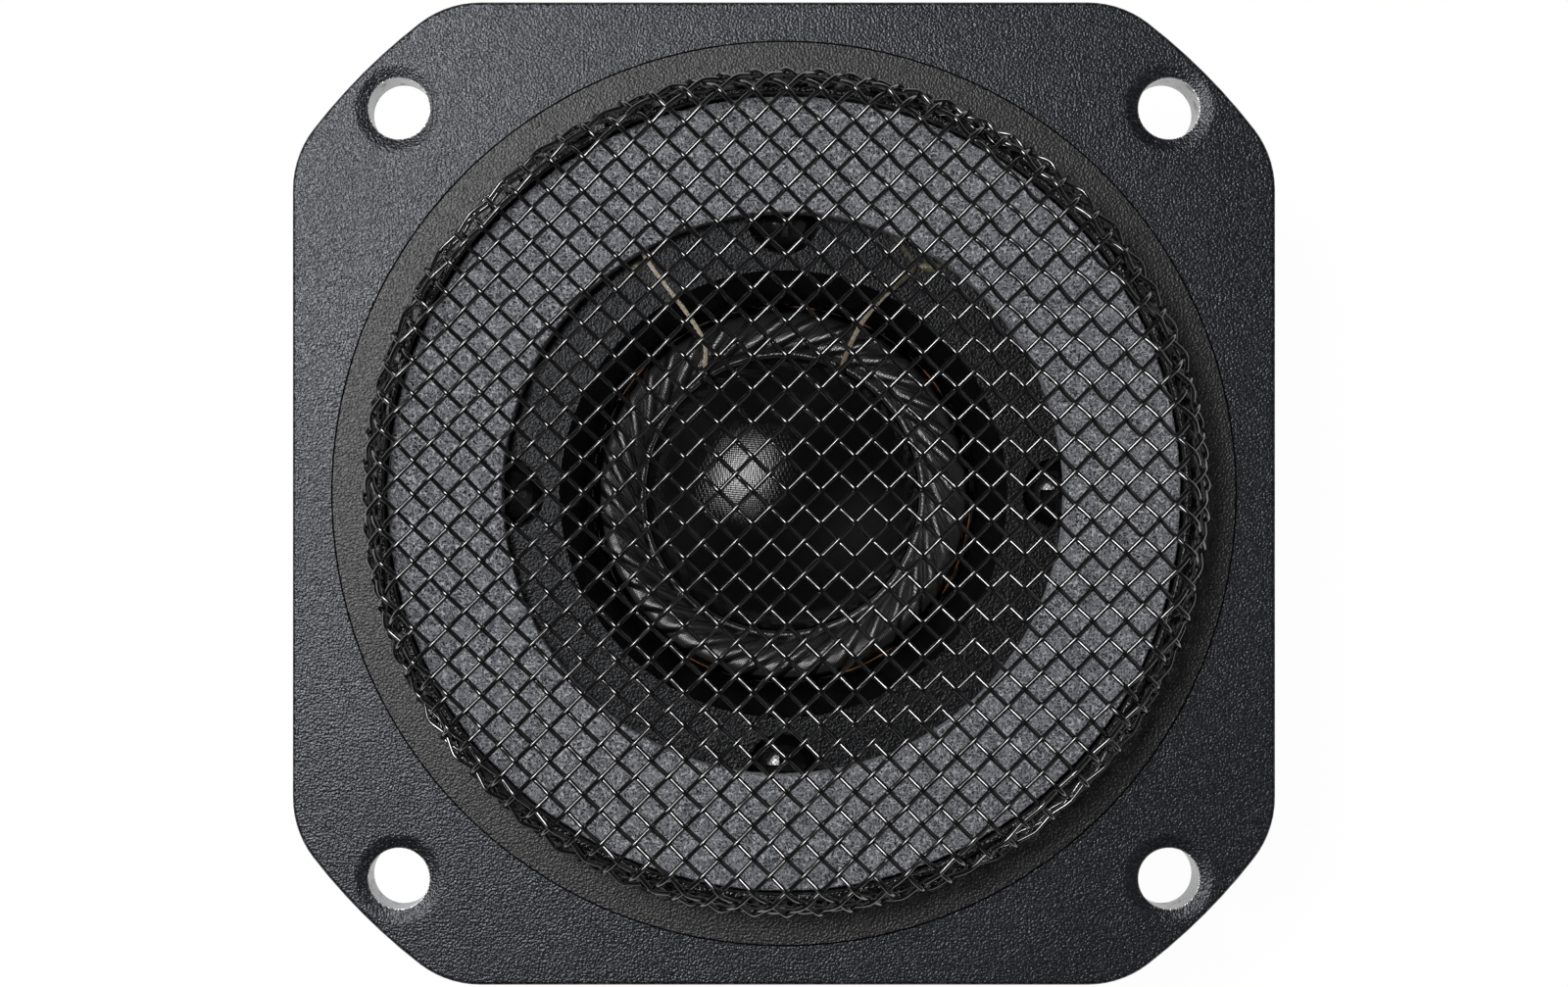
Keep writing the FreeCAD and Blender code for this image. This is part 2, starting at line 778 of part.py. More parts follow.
def make_lead(label, hole, chosen):
    """One braided lead, whole, along its real route."""
    points = lead_points(hole, chosen)
    path, radii = lead_path(points)
    radius = DIMENSIONS["lead_radius"]
    ring = Part.Wire(Part.Circle(points[0], V(0, 0, 1), radius).toShape())
    tube = path.makePipeShell([ring], True, False)
    expected = math.pi * radius**2 * path.Length
    ratio = tube.Volume / expected
    print(f"{label}: length {path.Length:.1f} mm, bends {radii}, volume ratio {ratio:.4f}")
    return feature_piece(label, tube)


def make_lead_sleeves():
    """Insulating tube round each lead in its hole."""
    outer = D.lead_hole_radius - D.sleeve_gap
    circles = [(x, y, size) for x, y in lead_holes for size in (outer, outer - D.sleeve_wall)]
    body = new_body("lead_sleeves", many=True)
    extrude(body, [], circles, boss_z, D.boss_depth + floor_z - D.sleeve_top)
    return body


def make_lead_adhesive():
    """Two dabs of dried adhesive on the floor, each a low cap of a ball."""
    caps = []
    for angle, beyond, radius in DABS:
        x, y = [value.value for value in lead_place(angle, "felt", beyond)]
        ball_radius = (radius**2 + DAB_RISE**2) / (2 * DAB_RISE)
        centre = V(x, y, floor_z.value + DAB_RISE - ball_radius)
        ball = Part.makeSphere(ball_radius, centre)
        slab = Part.makeCylinder(ball_radius, DAB_RISE, V(x, y, floor_z.value))
        caps.append(ball.common(slab).Solids[0])
    return feature_piece("lead_adhesive", Part.makeCompound(caps))


def make_coil_lead_joints():
    """Solder at the dome's edge where each lead meets the coil's own wire."""
    ball_radius, centre_z = dome_ball()
    dome_solid = Part.makeSphere(ball_radius.value, V(0, 0, centre_z.value))
    edge = former_outer.value
    low = diaphragm_z.value + DIMENSIONS["surround_gap"]
    size = DIMENSIONS["lead_radius"] * 2.5
    inside_roll = edge + DIMENSIONS["surround_gap"] + DIMENSIONS["roll_lip"] * 0.6
    room = Part.makeCylinder(inside_roll, size, V(0, 0, low)).cut(dome_solid)
    blobs = []
    for chosen in (LEFT_LEAD, RIGHT_LEAD):
        turn = math.radians(chosen[-1][0])
        middle = V(edge * math.cos(turn), edge * math.sin(turn), low)
        blobs.append(Part.makeSphere(size, middle).common(room).Solids[0])
    return feature_piece("coil_lead_joints", Part.makeCompound(blobs))


# ---------------------------------------------------------------- terminals, drawn along +X


def tag_holes(side):
    """The rivet's and the lead's holes through a tag and the board: x, y and radius."""
    turn = D.lead_hole_spread
    lead_x, lead_y = polar(lead_hole_circle, turn)
    rivet = (board_middle(), D.rivet_offset * side, D.rivet_radius + D.fit_gap)
    return [rivet, (lead_x, lead_y * side, D.lead_radius + D.fit_gap * 3)]


def make_terminal_board():
    """Phenolic board on the boss; its rivets' inner heads lie in counterbores."""
    half = D.board_length / 2
    outline = rectangle(board_inner, -half, board_outer, half)
    screw_hole = (board_middle(), 0, D.board_screw_radius + D.fit_gap * 2)
    circles = tag_holes(1) + tag_holes(-1) + [screw_hole]
    body = new_body("terminal_board")
    extrude(body, [outline], circles, board_z, D.board_thickness)
    wells = [(board_middle(), D.rivet_offset), (board_middle(), -D.rivet_offset)]
    well_depth = D.rivet_head_height + D.fit_gap
    drill(body, wells, D.rivet_head_radius + D.fit_gap * 2, boss_z, well_depth)
    return turn_to_terminals(body)


def make_tag(label, side, blade_width):
    """Bent tag: a foot riveted to the board and a blade that points to the rear."""
    outer = board_outer - D.fit_gap * 4
    inner = board_inner + D.fit_gap * 4
    middle = D.tag_offset * side
    half = D.tag_width / 2
    body = new_body(label)
    foot = rectangle(inner, middle - half, outer, middle + half)
    extrude(body, [foot], tag_holes(side), board_z, D.tag_thickness, upwards=False)
    blade = rectangle(outer - D.tag_thickness, middle - blade_width / 2, outer, middle + blade_width / 2)
    extrude(body, [blade], [], board_z, D.tag_length, upwards=False)
    return turn_to_terminals(body)


def make_terminal_rivets():
    """Hollow rivets: shank through tag and board, a head on the tag and one in the board."""
    body = new_body("terminal_rivets", many=True)
    points = [(board_middle(), D.rivet_offset), (board_middle(), -D.rivet_offset)]

    def rings(radius):
        return [(x, y, size) for x, y in points for size in (radius, D.rivet_bore)]

    total = D.tag_thickness + D.board_thickness - D.fit_gap
    extrude(body, [], rings(D.rivet_radius), tag_z, total)
    extrude(body, [], rings(D.rivet_head_radius), tag_z, D.rivet_head_height, upwards=False)
    under = boss_z - D.fit_gap
    extrude(body, [], rings(D.rivet_head_radius), under, D.rivet_head_height, upwards=False)
    return turn_to_terminals(body)


def make_tag_solder():
    """Solder over the end of each lead on its tag."""
    body = new_body("tag_solder", many=True)
    circles = []
    for side in (1, -1):
        lead_x, lead_y = polar(lead_hole_circle, D.lead_hole_spread)
        circles.append((lead_x, lead_y * side, D.solder_radius))
    blobs = extrude(body, [], circles, tag_z, D.solder_height, upwards=False)
    tips = lambda edge: edge.BoundBox.ZMax < (tag_z - D.solder_height).value + 1e-6
    round_edges(body, blobs, tips, D.solder_radius / 2, kind="Chamfer")
    return turn_to_terminals(body)


def make_board_screw():
    """The screw that holds the terminal board to the faceplate's boss."""
    body = new_body("board_screw")
    head = (D.board_screw_head_radius, D.board_screw_head_height)
    add_pan_screw(body, board_middle(), board_z, -1, D.board_screw_radius, D.board_screw_length, *head)
    return turn_to_terminals(body)


# ---------------------------------------------------------------- magnet system


def make_top_plate():
    bore = winding_outer + D.gap_clearance
    body = turned("top_plate", rectangle(bore, top_plate_z, top_plate_radius, boss_z))
    drill(body, four_round(screw_circle), D.screw_radius + D.screw_tap_gap, boss_z)
    return body


def make_magnet_ring():
    """Ferrite ring with chamfered edges."""
    body = new_body("magnet_ring")
    ring = turn_profile(body, rectangle(D.magnet_bore, magnet_z, magnet_radius, top_plate_z))
    rims = (magnet_z, top_plate_z)
    outer_edges = lambda edge: any(is_circle(edge, magnet_radius, height) for height in rims)
    round_edges(body, ring, outer_edges, D.motor_chamfer, kind="Chamfer")
    return body


def make_pole_piece():
    """Steel pole with a spigot that is riveted over in the back plate."""
    radius = D.coil_radius - D.gap_clearance
    section = [
        (0, back_z),
        (D.spigot_radius, back_z),
        (D.spigot_radius, magnet_z),
        (radius, magnet_z),
        (radius, boss_z),
        (0, boss_z),
    ]
    return turned("pole_piece", section)


def make_back_plate():
    body = new_body("back_plate")
    bore = D.spigot_radius + D.spigot_gap
    disc = turn_profile(body, rectangle(bore, back_z, top_plate_radius, magnet_z))
    rear_edge = lambda edge: is_circle(edge, top_plate_radius, back_z)
    round_edges(body, disc, rear_edge, D.motor_chamfer, kind="Chamfer")
    return body


def make_pole_damper():
    """Felt disc on the pole, under the dome."""
    return turned("pole_damper", rectangle(0, boss_z, D.damper_radius, boss_z + D.damper_thickness))


# ---------------------------------------------------------------- build, check and write

pieces = [
    make_faceplate(),
    make_grille_ring(),
    make_grille_screen(),
    make_felt_ring(),
    make_clamp_screws(),
    make_diaphragm_flange(),
    make_flange_gasket(),
    make_surround(),
    make_surround_bead(),
    make_dome(),
    make_coil_former(),
    make_voice_coil(),
    make_coil_lead_joints(),
    make_lead("lead_left", lead_holes[0], LEFT_LEAD),
    make_lead("lead_right", lead_holes[1], RIGHT_LEAD),
    make_lead_sleeves(),
    make_lead_adhesive(),
    make_terminal_board(),
    make_tag("terminal_positive", 1, D.blade_positive),
    make_tag("terminal_negative", -1, D.blade_negative),
    make_terminal_rivets(),
    make_tag_solder(),
    make_board_screw(),
    make_top_plate(),
    make_magnet_ring(),
    make_pole_piece(),
    make_back_plate(),
    make_pole_damper(),
]
doc.recompute()

CUTS = ("PartDesign::Pocket", "PartDesign::Groove", "PartDesign::Hole")
for item in doc.Objects:
    bad = {"Invalid", "Error"} & set(item.State)
    if bad:
        raise RuntimeError(f"{item.Name} is {bad}")
    if item.TypeId in CUTS and item.Shape.Volume >= item.BaseFeature.Shape.Volume - 1e-3:
        raise RuntimeError(f"{item.Name} cuts nothing")
    if item.TypeId == "Sketcher::SketchObject" and not item.FullyConstrained:
        raise RuntimeError(f"{item.Name} is not fully constrained")

os.makedirs("parts", exist_ok=True)
for piece in pieces:
    shape = piece.Shape
    if shape.isNull() or not shape.isValid() or not shape.Solids:
        raise RuntimeError(f"{piece.Label} has no sound shape")
    shape.exportStep(f"parts/{piece.Label}.step")
    low, high = shape.BoundBox.ZMin, shape.BoundBox.ZMax
    count = len(shape.Solids)
    print(f"{piece.Label}: {count} solids, {shape.Volume:.1f} mm3, z {low:.2f} to {high:.2f}")
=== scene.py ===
# %% [markdown]
# # A soft dome tweeter behind a woven wire grille
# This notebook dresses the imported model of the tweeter. The model's sub-parts are already the right
# size and in the right place, so the hard ones only get a finish. The soft and woven ones are made
# again here with the detail that a solid model leaves out, and they take the place of their solids.
# The frame is in metres. The origin is the centre of the faceplate's rear face, and +Z points out
# of the front.

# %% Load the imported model
import math

import bmesh
import bpy
import numpy as np
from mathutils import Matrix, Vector, noise


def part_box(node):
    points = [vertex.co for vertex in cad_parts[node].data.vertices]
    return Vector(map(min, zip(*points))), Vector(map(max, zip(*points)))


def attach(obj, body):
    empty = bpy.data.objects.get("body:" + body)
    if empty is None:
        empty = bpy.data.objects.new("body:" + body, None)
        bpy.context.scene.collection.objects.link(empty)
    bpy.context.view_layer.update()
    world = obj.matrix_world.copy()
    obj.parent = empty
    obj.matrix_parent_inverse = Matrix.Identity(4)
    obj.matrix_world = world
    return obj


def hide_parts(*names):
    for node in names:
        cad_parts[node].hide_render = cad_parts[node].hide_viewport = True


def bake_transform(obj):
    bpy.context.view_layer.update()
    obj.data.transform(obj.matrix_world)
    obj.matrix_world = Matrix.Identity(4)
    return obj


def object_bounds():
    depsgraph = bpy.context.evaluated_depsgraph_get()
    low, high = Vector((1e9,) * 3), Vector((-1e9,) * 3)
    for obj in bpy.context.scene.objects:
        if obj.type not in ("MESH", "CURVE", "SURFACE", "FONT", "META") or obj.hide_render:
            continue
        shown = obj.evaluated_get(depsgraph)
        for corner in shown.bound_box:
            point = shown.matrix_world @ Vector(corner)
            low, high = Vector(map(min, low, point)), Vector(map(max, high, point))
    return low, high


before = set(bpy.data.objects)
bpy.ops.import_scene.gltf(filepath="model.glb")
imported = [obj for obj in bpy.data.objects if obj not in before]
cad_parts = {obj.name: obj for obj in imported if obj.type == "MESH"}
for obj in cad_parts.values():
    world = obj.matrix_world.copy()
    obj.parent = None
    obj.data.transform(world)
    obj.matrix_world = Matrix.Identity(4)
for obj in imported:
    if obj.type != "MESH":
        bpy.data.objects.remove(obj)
cad_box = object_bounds()

# %% [markdown]
# The camera looks straight down on the faceplate from a short distance, so the raised grille leans
# outwards a little at its rim. It stands slightly off the middle, and a small lens shift brings
# the plate back to the middle of the frame without turning the square.

# %% Camera
MM = 0.001
PLATE_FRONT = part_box("faceplate")[1].z
CAMERA_DISTANCE = 270 * MM
VIEW_WIDTH = 165.8 * MM
camera_foot = Vector((-7.05, -4.86)) * MM
bpy.ops.object.camera_add(location=(*camera_foot, PLATE_FRONT + CAMERA_DISTANCE))
camera = bpy.context.object
camera.data.lens = camera.data.sensor_width * CAMERA_DISTANCE / VIEW_WIDTH
camera.data.shift_x = -camera_foot.x / VIEW_WIDTH
camera.data.shift_y = -camera_foot.y / VIEW_WIDTH
camera.data.clip_start = 0.01
bpy.context.scene.camera = camera
print(f"lens {camera.data.lens:.1f} mm")

# %% [markdown]
# One softbox lights the object from the left and a little from above. It is small enough to draw
# thin bright lines on the wires, and far enough away to keep the felt even. Its middle is brighter
# than its edges. A weaker lamp on the right and a dim world fill the shadows.

# %% Lamps and world
def soft_lamp(name, azimuth, lean, distance, width, height, watts):
    """A flat lamp over the object; lean is its angle from straight overhead."""
    turn, tip = math.radians(azimuth), math.radians(lean)
    out = Vector((math.cos(turn) * math.sin(tip), math.sin(turn) * math.sin(tip), math.cos(tip)))
    bpy.ops.object.light_add(type="AREA", location=out * distance)
    lamp = bpy.context.object
    lamp.name = name
    lamp.rotation_euler = out.to_track_quat("Z", "Y").to_euler()
    lamp.data.shape = "RECTANGLE"
    lamp.data.size = width
    lamp.data.size_y = height
    lamp.data.energy = watts
    lamp.visible_camera = False
    return lamp


key_lamp = soft_lamp("key_lamp", 150, 24, 0.62, 0.32, 0.22, 2.1)
hot_middle = soft_lamp("hot_middle", 150, 24, 0.6, 0.12, 0.1, 0.8)
fill_lamp = soft_lamp("fill_lamp", -20, 50, 0.8, 0.5, 0.5, 0.18)
world = bpy.data.worlds.new("studio")
world.use_nodes = True
bpy.context.scene.world = world
bpy.context.scene.view_settings.view_transform = "Standard"
print("lamps:", key_lamp.name, hot_middle.name, fill_lamp.name)

# %% [markdown]
# Finishes are written as sums. `Varying` wraps a number that changes over a surface, so that plus,
# minus and times build the Math nodes. `Finish` holds one material and makes every other node.

# %% Helpers for finishes
class Varying:
    """A number that changes over a surface; its sums and products add Math nodes."""

    def __init__(self, tree, socket):
        self.tree = tree
        self.socket = socket

    def math(self, operation, first, *others):
        step = self.tree.nodes.new("ShaderNodeMath")
        step.operation = operation
        for slot, value in zip(step.inputs, (first, *others)):
            if isinstance(value, Varying):
                self.tree.links.new(value.socket, slot)
            else:
                slot.default_value = value
        return Varying(self.tree, step.outputs[0])

    def __add__(self, other):
        return self.math("ADD", self, other)

    def __sub__(self, other):
        return self.math("SUBTRACT", self, other)

    def __rsub__(self, other):
        return self.math("SUBTRACT", other, self)

    def __mul__(self, other):
        return self.math("MULTIPLY", self, other)

    __radd__ = __add__

    def size(self):
        return self.math("ABSOLUTE", self)

    def wave(self):
        return self.math("SINE", self)

    def ramp(self, low, high):
        """0 below low, 1 above high, and a smooth step between; high may be the smaller."""
        share = self.tree.nodes.new("ShaderNodeMapRange")
        share.interpolation_type = "SMOOTHSTEP"
        share.inputs["From Min"].default_value = low
        share.inputs["From Max"].default_value = high
        self.tree.links.new(self.socket, share.inputs["Value"])
        return Varying(self.tree, share.outputs["Result"])


def distance(across, along):
    """How far a point is from the axis that its two coordinates are measured from."""
    squared = across * across + along * along
    return squared.math("SQRT", squared)


class Finish:
    """One material: its shader, and the nodes that vary it over the surface."""

    def __init__(self, name, colour=(0.5, 0.5, 0.5), roughness=0.5, metallic=0.0, **sockets):
        self.material = bpy.data.materials.new(name)
        self.material.use_nodes = True
        self.tree = self.material.node_tree
        self.shader = self.tree.nodes["Principled BSDF"]
        self.shader.inputs["Base Color"].default_value = (*colour, 1)
        self.shader.inputs["Roughness"].default_value = roughness
        self.shader.inputs["Metallic"].default_value = metallic
        for socket, value in sockets.items():
            self.shader.inputs[socket.replace("_", " ")].default_value = value
        self.place = self.node("ShaderNodeTexCoord").outputs["Object"]
        parts = self.node("ShaderNodeSeparateXYZ", inputs={0: self.place})
        self.x, self.y, self.z = (Varying(self.tree, socket) for socket in parts.outputs)
        self.last_normal = None

    def node(self, kind, settings=None, inputs=None):
        """A node of any type: its settings first, then its sockets' values or links."""
        made = self.tree.nodes.new(kind)
        for name, value in (settings or {}).items():
            setattr(made, name, value)
        for name, value in (inputs or {}).items():
            if isinstance(value, Varying):
                value = value.socket
            if isinstance(value, bpy.types.NodeSocket):
                self.tree.links.new(value, made.inputs[name])
            else:
                made.inputs[name].default_value = value
        return made

    def speckle(self, size_mm, detail=2, stretch=(1, 1, 1), turn=0.0, place=None):
        """Soft noise from 0 to 1 with spots of about that size, stretched or turned if wanted."""
        place = place or self.place
        if stretch != (1, 1, 1) or turn:
            turned = self.node(
                "ShaderNodeMapping",
                inputs={"Vector": place, "Rotation": (0, 0, math.radians(turn)), "Scale": stretch},
            )
            place = turned.outputs[0]
        spots = self.node(
            "ShaderNodeTexNoise",
            inputs={"Vector": place, "Scale": 0.5 / (size_mm * MM), "Detail": detail},
        )
        return Varying(self.tree, spots.outputs["Fac"])

    def blend(self, share, one, two):
        """A colour between two colours; each may be a link."""
        one, two = ((*value, 1) if isinstance(value, tuple) else value for value in (one, two))
        # the Mix node keeps its colours in sockets 6 and 7, and its mixed colour in output 2
        mixed = self.node("ShaderNodeMix", {"data_type": "RGBA"}, {0: share, 6: one, 7: two})
        return mixed.outputs[2]

    def set(self, socket, value):
        """Drives one of the shader's sockets."""
        value = value.socket if isinstance(value, Varying) else value
        self.tree.links.new(value, self.shader.inputs[socket])

    def relief(self, height, depth_mm):
        """Raises the surface where height is 1; later reliefs add to earlier ones."""
        inputs = {"Height": height, "Distance": depth_mm * MM, "Strength": 1.0}
        if self.last_normal:
            inputs["Normal"] = self.last_normal
        self.last_normal = self.node("ShaderNodeBump", inputs=inputs).outputs[0]
        self.set("Normal", self.last_normal)


def tone(red, green, blue):
    """A colour given as it looks on a screen, 0 to 255, as the linear numbers a shader needs."""
    return tuple(
        v / 12.92 if v <= 0.04045 else ((v + 0.055) / 1.055) ** 2.4
        for v in (red / 255, green / 255, blue / 255)
    )


def dress(node, finish):
    """Gives a packed sub-part its finish."""
    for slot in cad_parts[node].material_slots:
        slot.material = finish.material


def wear(piece, finish):
    """Gives a new piece its finish."""
    piece.data.materials.clear()
    piece.data.materials.append(finish.material)


# %% [markdown]
# The soft and woven pieces are modelled with a few operators that come back again and again, so
# each has a helper.

# %% Helpers for modelling
def bare_selection():
    """Leaves edit mode with nothing selected, so that the next operator sees only what it is given."""
    if bpy.context.object and bpy.context.object.mode != "OBJECT":
        bpy.ops.object.mode_set(mode="OBJECT")
    bpy.ops.object.select_all(action="DESELECT")


def pick(piece, test):
    """In edit mode, selects the vertices whose place passes a test."""
    bpy.ops.mesh.select_mode(type="VERT")
    bpy.ops.mesh.select_all(action="DESELECT")
    bpy.ops.object.mode_set(mode="OBJECT")
    for vertex in piece.data.vertices:
        vertex.select = test(vertex.co)
    bpy.ops.object.mode_set(mode="EDIT")


def spin_round(steps):
    """Spins the selected edges once round the Z axis, and closes the seam."""
    bpy.ops.mesh.select_all(action="SELECT")
    bpy.ops.mesh.spin(steps=steps, angle=2 * math.pi, center=(0, 0, 0), axis=(0, 0, 1))
    bpy.ops.mesh.select_all(action="SELECT")
    bpy.ops.mesh.remove_doubles(threshold=0.002 * MM)
    bpy.ops.mesh.normals_make_consistent(inside=False)
    bpy.ops.object.mode_set(mode="OBJECT")


def settle(piece):
    """Puts the piece's place into its mesh, so that its object sits at the origin."""
    bare_selection()
    piece.select_set(True)
    bpy.context.view_layer.objects.active = piece
    bpy.ops.object.transform_apply(location=True, rotation=True, scale=True)


def roughen(piece, spot_mm, height_mm):
    """Pushes the surface in and out by soft noise."""
    spots = bpy.data.textures.new(f"{piece.name}_spots", "CLOUDS")
    spots.noise_scale = spot_mm * MM
    push = piece.modifiers.new("push", "DISPLACE")
    push.texture = spots
    push.texture_coords = "LOCAL"
    push.strength = height_mm * MM
    push.mid_level = 0.5
    bpy.context.view_layer.objects.active = piece
    bpy.ops.object.modifier_apply(modifier="push")


def numbers(owner, key):
    """The three numbers that each vertex or normal has, as an array with a row for each."""
    flat = np.empty(len(owner) * 3)
    owner.foreach_get(key, flat)
    return flat.reshape(-1, 3)


def round_wires(name, routes, radius, resolution):
    """Round wires as one mesh. Each route is an array of points along the middle of a wire."""
    wires = bpy.data.curves.new(name, "CURVE")
    wires.dimensions = "3D"
    wires.bevel_depth = radius
    wires.bevel_resolution = resolution
    wires.use_fill_caps = True
    for route in routes:
        spline = wires.splines.new("POLY")
        spline.points.add(len(route) - 1)
        spline.points.foreach_set("co", np.c_[route, np.ones(len(route))].ravel())
    piece = bpy.data.objects.new(name, wires)
    bpy.context.scene.collection.objects.link(piece)
    bare_selection()
    piece.select_set(True)
    bpy.context.view_layer.objects.active = piece
    bpy.ops.object.convert(target="MESH")
    bpy.ops.object.shade_smooth()
    return bpy.context.object


# %% [markdown]
# The tweeter lies on its magnet on a plain pale floor. What the camera sees of the floor is mostly
# a flat white of its own, mixed with a little of its real, lit colour, so the object still drops a
# faint shadow on it. The floor can be looked through from below.

# %% Floor and background
WHITE_LEVEL = 1.05  # strength of the floor's own white
WHITE_SHARE = 0.93  # the rest is its lit colour
WORLD_LEVEL = 0.035
floor_level = cad_box[0].z
bpy.ops.mesh.primitive_plane_add(size=4, location=(0, 0, floor_level))
floor = bpy.context.object
floor.name = "floor"
floor_finish = Finish("pale_floor", (0.86, 0.86, 0.86), 0.7)
rays = floor_finish.node("ShaderNodeLightPath")
seen = Varying(floor_finish.tree, rays.outputs["Is Camera Ray"])
for kind in ("Is Glossy Ray", "Is Transmission Ray"):
    seen = seen + Varying(floor_finish.tree, rays.outputs[kind])
white_inputs = {"Color": (1, 1, 1, 1), "Strength": WHITE_LEVEL}
white = floor_finish.node("ShaderNodeEmission", inputs=white_inputs)
both = floor_finish.node(
    "ShaderNodeMixShader",
    inputs={0: seen * WHITE_SHARE, 1: floor_finish.shader.outputs[0], 2: white.outputs[0]},
)
clear = floor_finish.node("ShaderNodeBsdfTransparent")
facing = floor_finish.node("ShaderNodeNewGeometry")
shown = floor_finish.node(
    "ShaderNodeMixShader",
    inputs={0: facing.outputs["Backfacing"], 1: both.outputs[0], 2: clear.outputs[0]},
)
surface = floor_finish.tree.nodes["Material Output"].inputs["Surface"]
floor_finish.tree.links.new(shown.outputs[0], surface)
floor.data.materials.append(floor_finish.material)

sky = world.node_tree
sky_rays = sky.nodes.new("ShaderNodeLightPath")
sky_level = Varying(sky, sky_rays.outputs["Is Camera Ray"]) * (1 - WORLD_LEVEL) + WORLD_LEVEL
sky.links.new(sky_level.socket, sky.nodes["Background"].inputs["Strength"])
sky.nodes["Background"].inputs["Color"].default_value = (1, 1, 1, 1)
print(f"floor at {floor_level / MM:.1f} mm")

# %% [markdown]
# ## The faceplate and the grille's ring
# The plate is a casting with a thin coat of fine, slightly rough black paint. The grain is a
# tenth or two of a millimetre across, so it is relief in the finish and not geometry. The bores of
# the mounting holes were drilled after painting, and show bare metal with a few brown marks. In the
# well round the dome, painted shade makes the paint darker, with less shine.

# %% Finish: plate paint
HOLE_REACH = 40.75 * MM  # from the middle to a mounting hole, along X and along Y
HOLE_RADIUS = 3.25 * MM
WELL_OUTER, WELL_INNER = 31 * MM, 29.5 * MM  # the paint darkens between these two circles
COLD_SHINE = (0.93, 0.95, 1.0, 1)


def painted(name, colour, **sockets):
    """Grainy black paint: the grain is relief, and it also changes the colour a little."""
    paint = Finish(name, Specular_IOR_Level=0.62, **sockets)
    grain = paint.speckle(0.12, detail=1)
    hollow = tuple(value * 0.6 for value in colour)
    crest = tuple(value * 2.4 + 0.006 for value in colour)
    paint.relief(grain, 0.1)
    return paint, grain, paint.blend(grain.ramp(0.5, 0.68), hollow, crest)


plate_paint, plate_grain, plate_colour = painted(
    "plate_paint", tone(25, 26, 31), Specular_Tint=COLD_SHINE
)
clouds = plate_paint.speckle(9, detail=3)
plate_paint.set("Roughness", 0.25 + clouds * 0.1 + plate_grain * 0.04)
to_hole = distance(plate_paint.x.size() - HOLE_REACH, plate_paint.y.size() - HOLE_REACH)
bare = to_hole.ramp(HOLE_RADIUS + 0.12 * MM, HOLE_RADIUS + 0.02 * MM)
marks = plate_paint.speckle(0.7, detail=4).ramp(0.56, 0.7)
metal = plate_paint.blend(marks, tone(166, 165, 162), tone(96, 74, 54))
# painted shade: inside the well round the dome the paint's colour is darkened and its shine lowered
well_painted_shade = distance(plate_paint.x, plate_paint.y).ramp(WELL_OUTER, WELL_INNER)
plate_colour = plate_paint.blend(well_painted_shade, plate_colour, tone(9, 9, 9))
plate_paint.set("Base Color", plate_paint.blend(bare, plate_colour, metal))
plate_paint.set("Metallic", bare * 0.8 + well_painted_shade * 0.4)
dress("faceplate", plate_paint)
print("plate paint on the faceplate")

# %% [markdown]
# The ring that holds the grille has the same paint, a little darker and duller. Its upstanding lip
# is glossy, because the grille's enamel runs over it.

# %% Finish: ring paint
LIP_RADIUS = 43 * MM
ring_paint, _, ring_colour = painted("ring_paint", tone(20, 20, 21))
on_lip = distance(ring_paint.x, ring_paint.y).ramp(LIP_RADIUS + 0.1 * MM, LIP_RADIUS - 0.1 * MM)
ring_paint.set("Base Color", ring_paint.blend(on_lip, ring_colour, tone(14, 13, 13)))
ring_paint.set("Roughness", 0.4 - on_lip * 0.24)
dress("grille_ring", ring_paint)
print("ring paint on the grille ring")

# %% [markdown]
# ## The wire grille
# The cap is one disc of plain-woven wire cloth, pressed over a round die. Every wire goes over and
# under the wires that cross it. The pressing doesn't cut or stretch the wires, so a point of the
# flat disc ends up on the cap at the same distance from the middle, measured along the surface.
# That rule turns straight, wavy lines in the flat into wires on the cap. The wires are curves with
# a round bevel, which is how wire is best drawn, and they become meshes at the end.

# %% Shape of the cap
WIRE_RADIUS = 0.25 * MM
RISING_CRIMP = 0.17 * MM
FALLING_CRIMP = 2 * WIRE_RADIUS - RISING_CRIMP
CLOTH_HALF = FALLING_CRIMP + WIRE_RADIUS  # from the cloth's middle surface to its outside
screen_low, screen_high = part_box("grille_screen")
SHOULDER = 3.0 * MM  # bend of the cloth's middle surface
SKIRT = 6 * MM  # height of the straight part below the bend
FOOT_GAP = 0.3 * MM  # the wires stop this far above the cloth's foot
cap_radius = screen_high.x - CLOTH_HALF
flat_top = cap_radius - SHOULDER
skirt_top = screen_low.z + SKIRT
edge_level = skirt_top + SHOULDER
crown = screen_high.z - CLOTH_HALF - edge_level
bend_length = SHOULDER * math.pi / 2
cloth_radius = flat_top + bend_length + skirt_top - screen_low.z - FOOT_GAP
print(f"cloth disc {cloth_radius / MM:.1f} mm, cap {cap_radius / MM:.1f} mm in radius")


def pressed(x, y, lift):
    """Where a point of the flat cloth, lifted by lift, lies on the cap. All three are arrays."""
    rho = np.hypot(x, y)
    angle = np.clip((rho - flat_top) / SHOULDER, 0, math.pi / 2)
    down = np.clip(rho - flat_top - bend_length, 0, None)
    share = np.clip(rho / flat_top, 0, 1)
    radius = np.minimum(rho, flat_top) + SHOULDER * np.sin(angle)
    level = edge_level - SHOULDER * (1 - np.cos(angle)) - down + crown * (1 - share**2)
    out_x = x / np.maximum(rho, 1e-9)
    out_y = y / np.maximum(rho, 1e-9)
    radius = radius + lift * np.sin(angle)
    return np.stack([out_x * radius, out_y * radius, level + lift * np.cos(angle)], axis=-1)


# %% [markdown]
# Hand-laid cloth is never perfect. Each wire wanders by a few hundredths of a millimetre, and the
# falling wires have a small kink at each crossing towards the upper right.

# %% Weave the wires
STEPS = 8  # points from one crossing to the next
BEND = 0.9  # 1 would make the bends of a wire sharp
WANDER = 0.09 * MM
KINK = 0.13 * MM
EDGE_GAP = 0.6 * MM  # a wire that would lie closer than this to the cloth's edge is left out


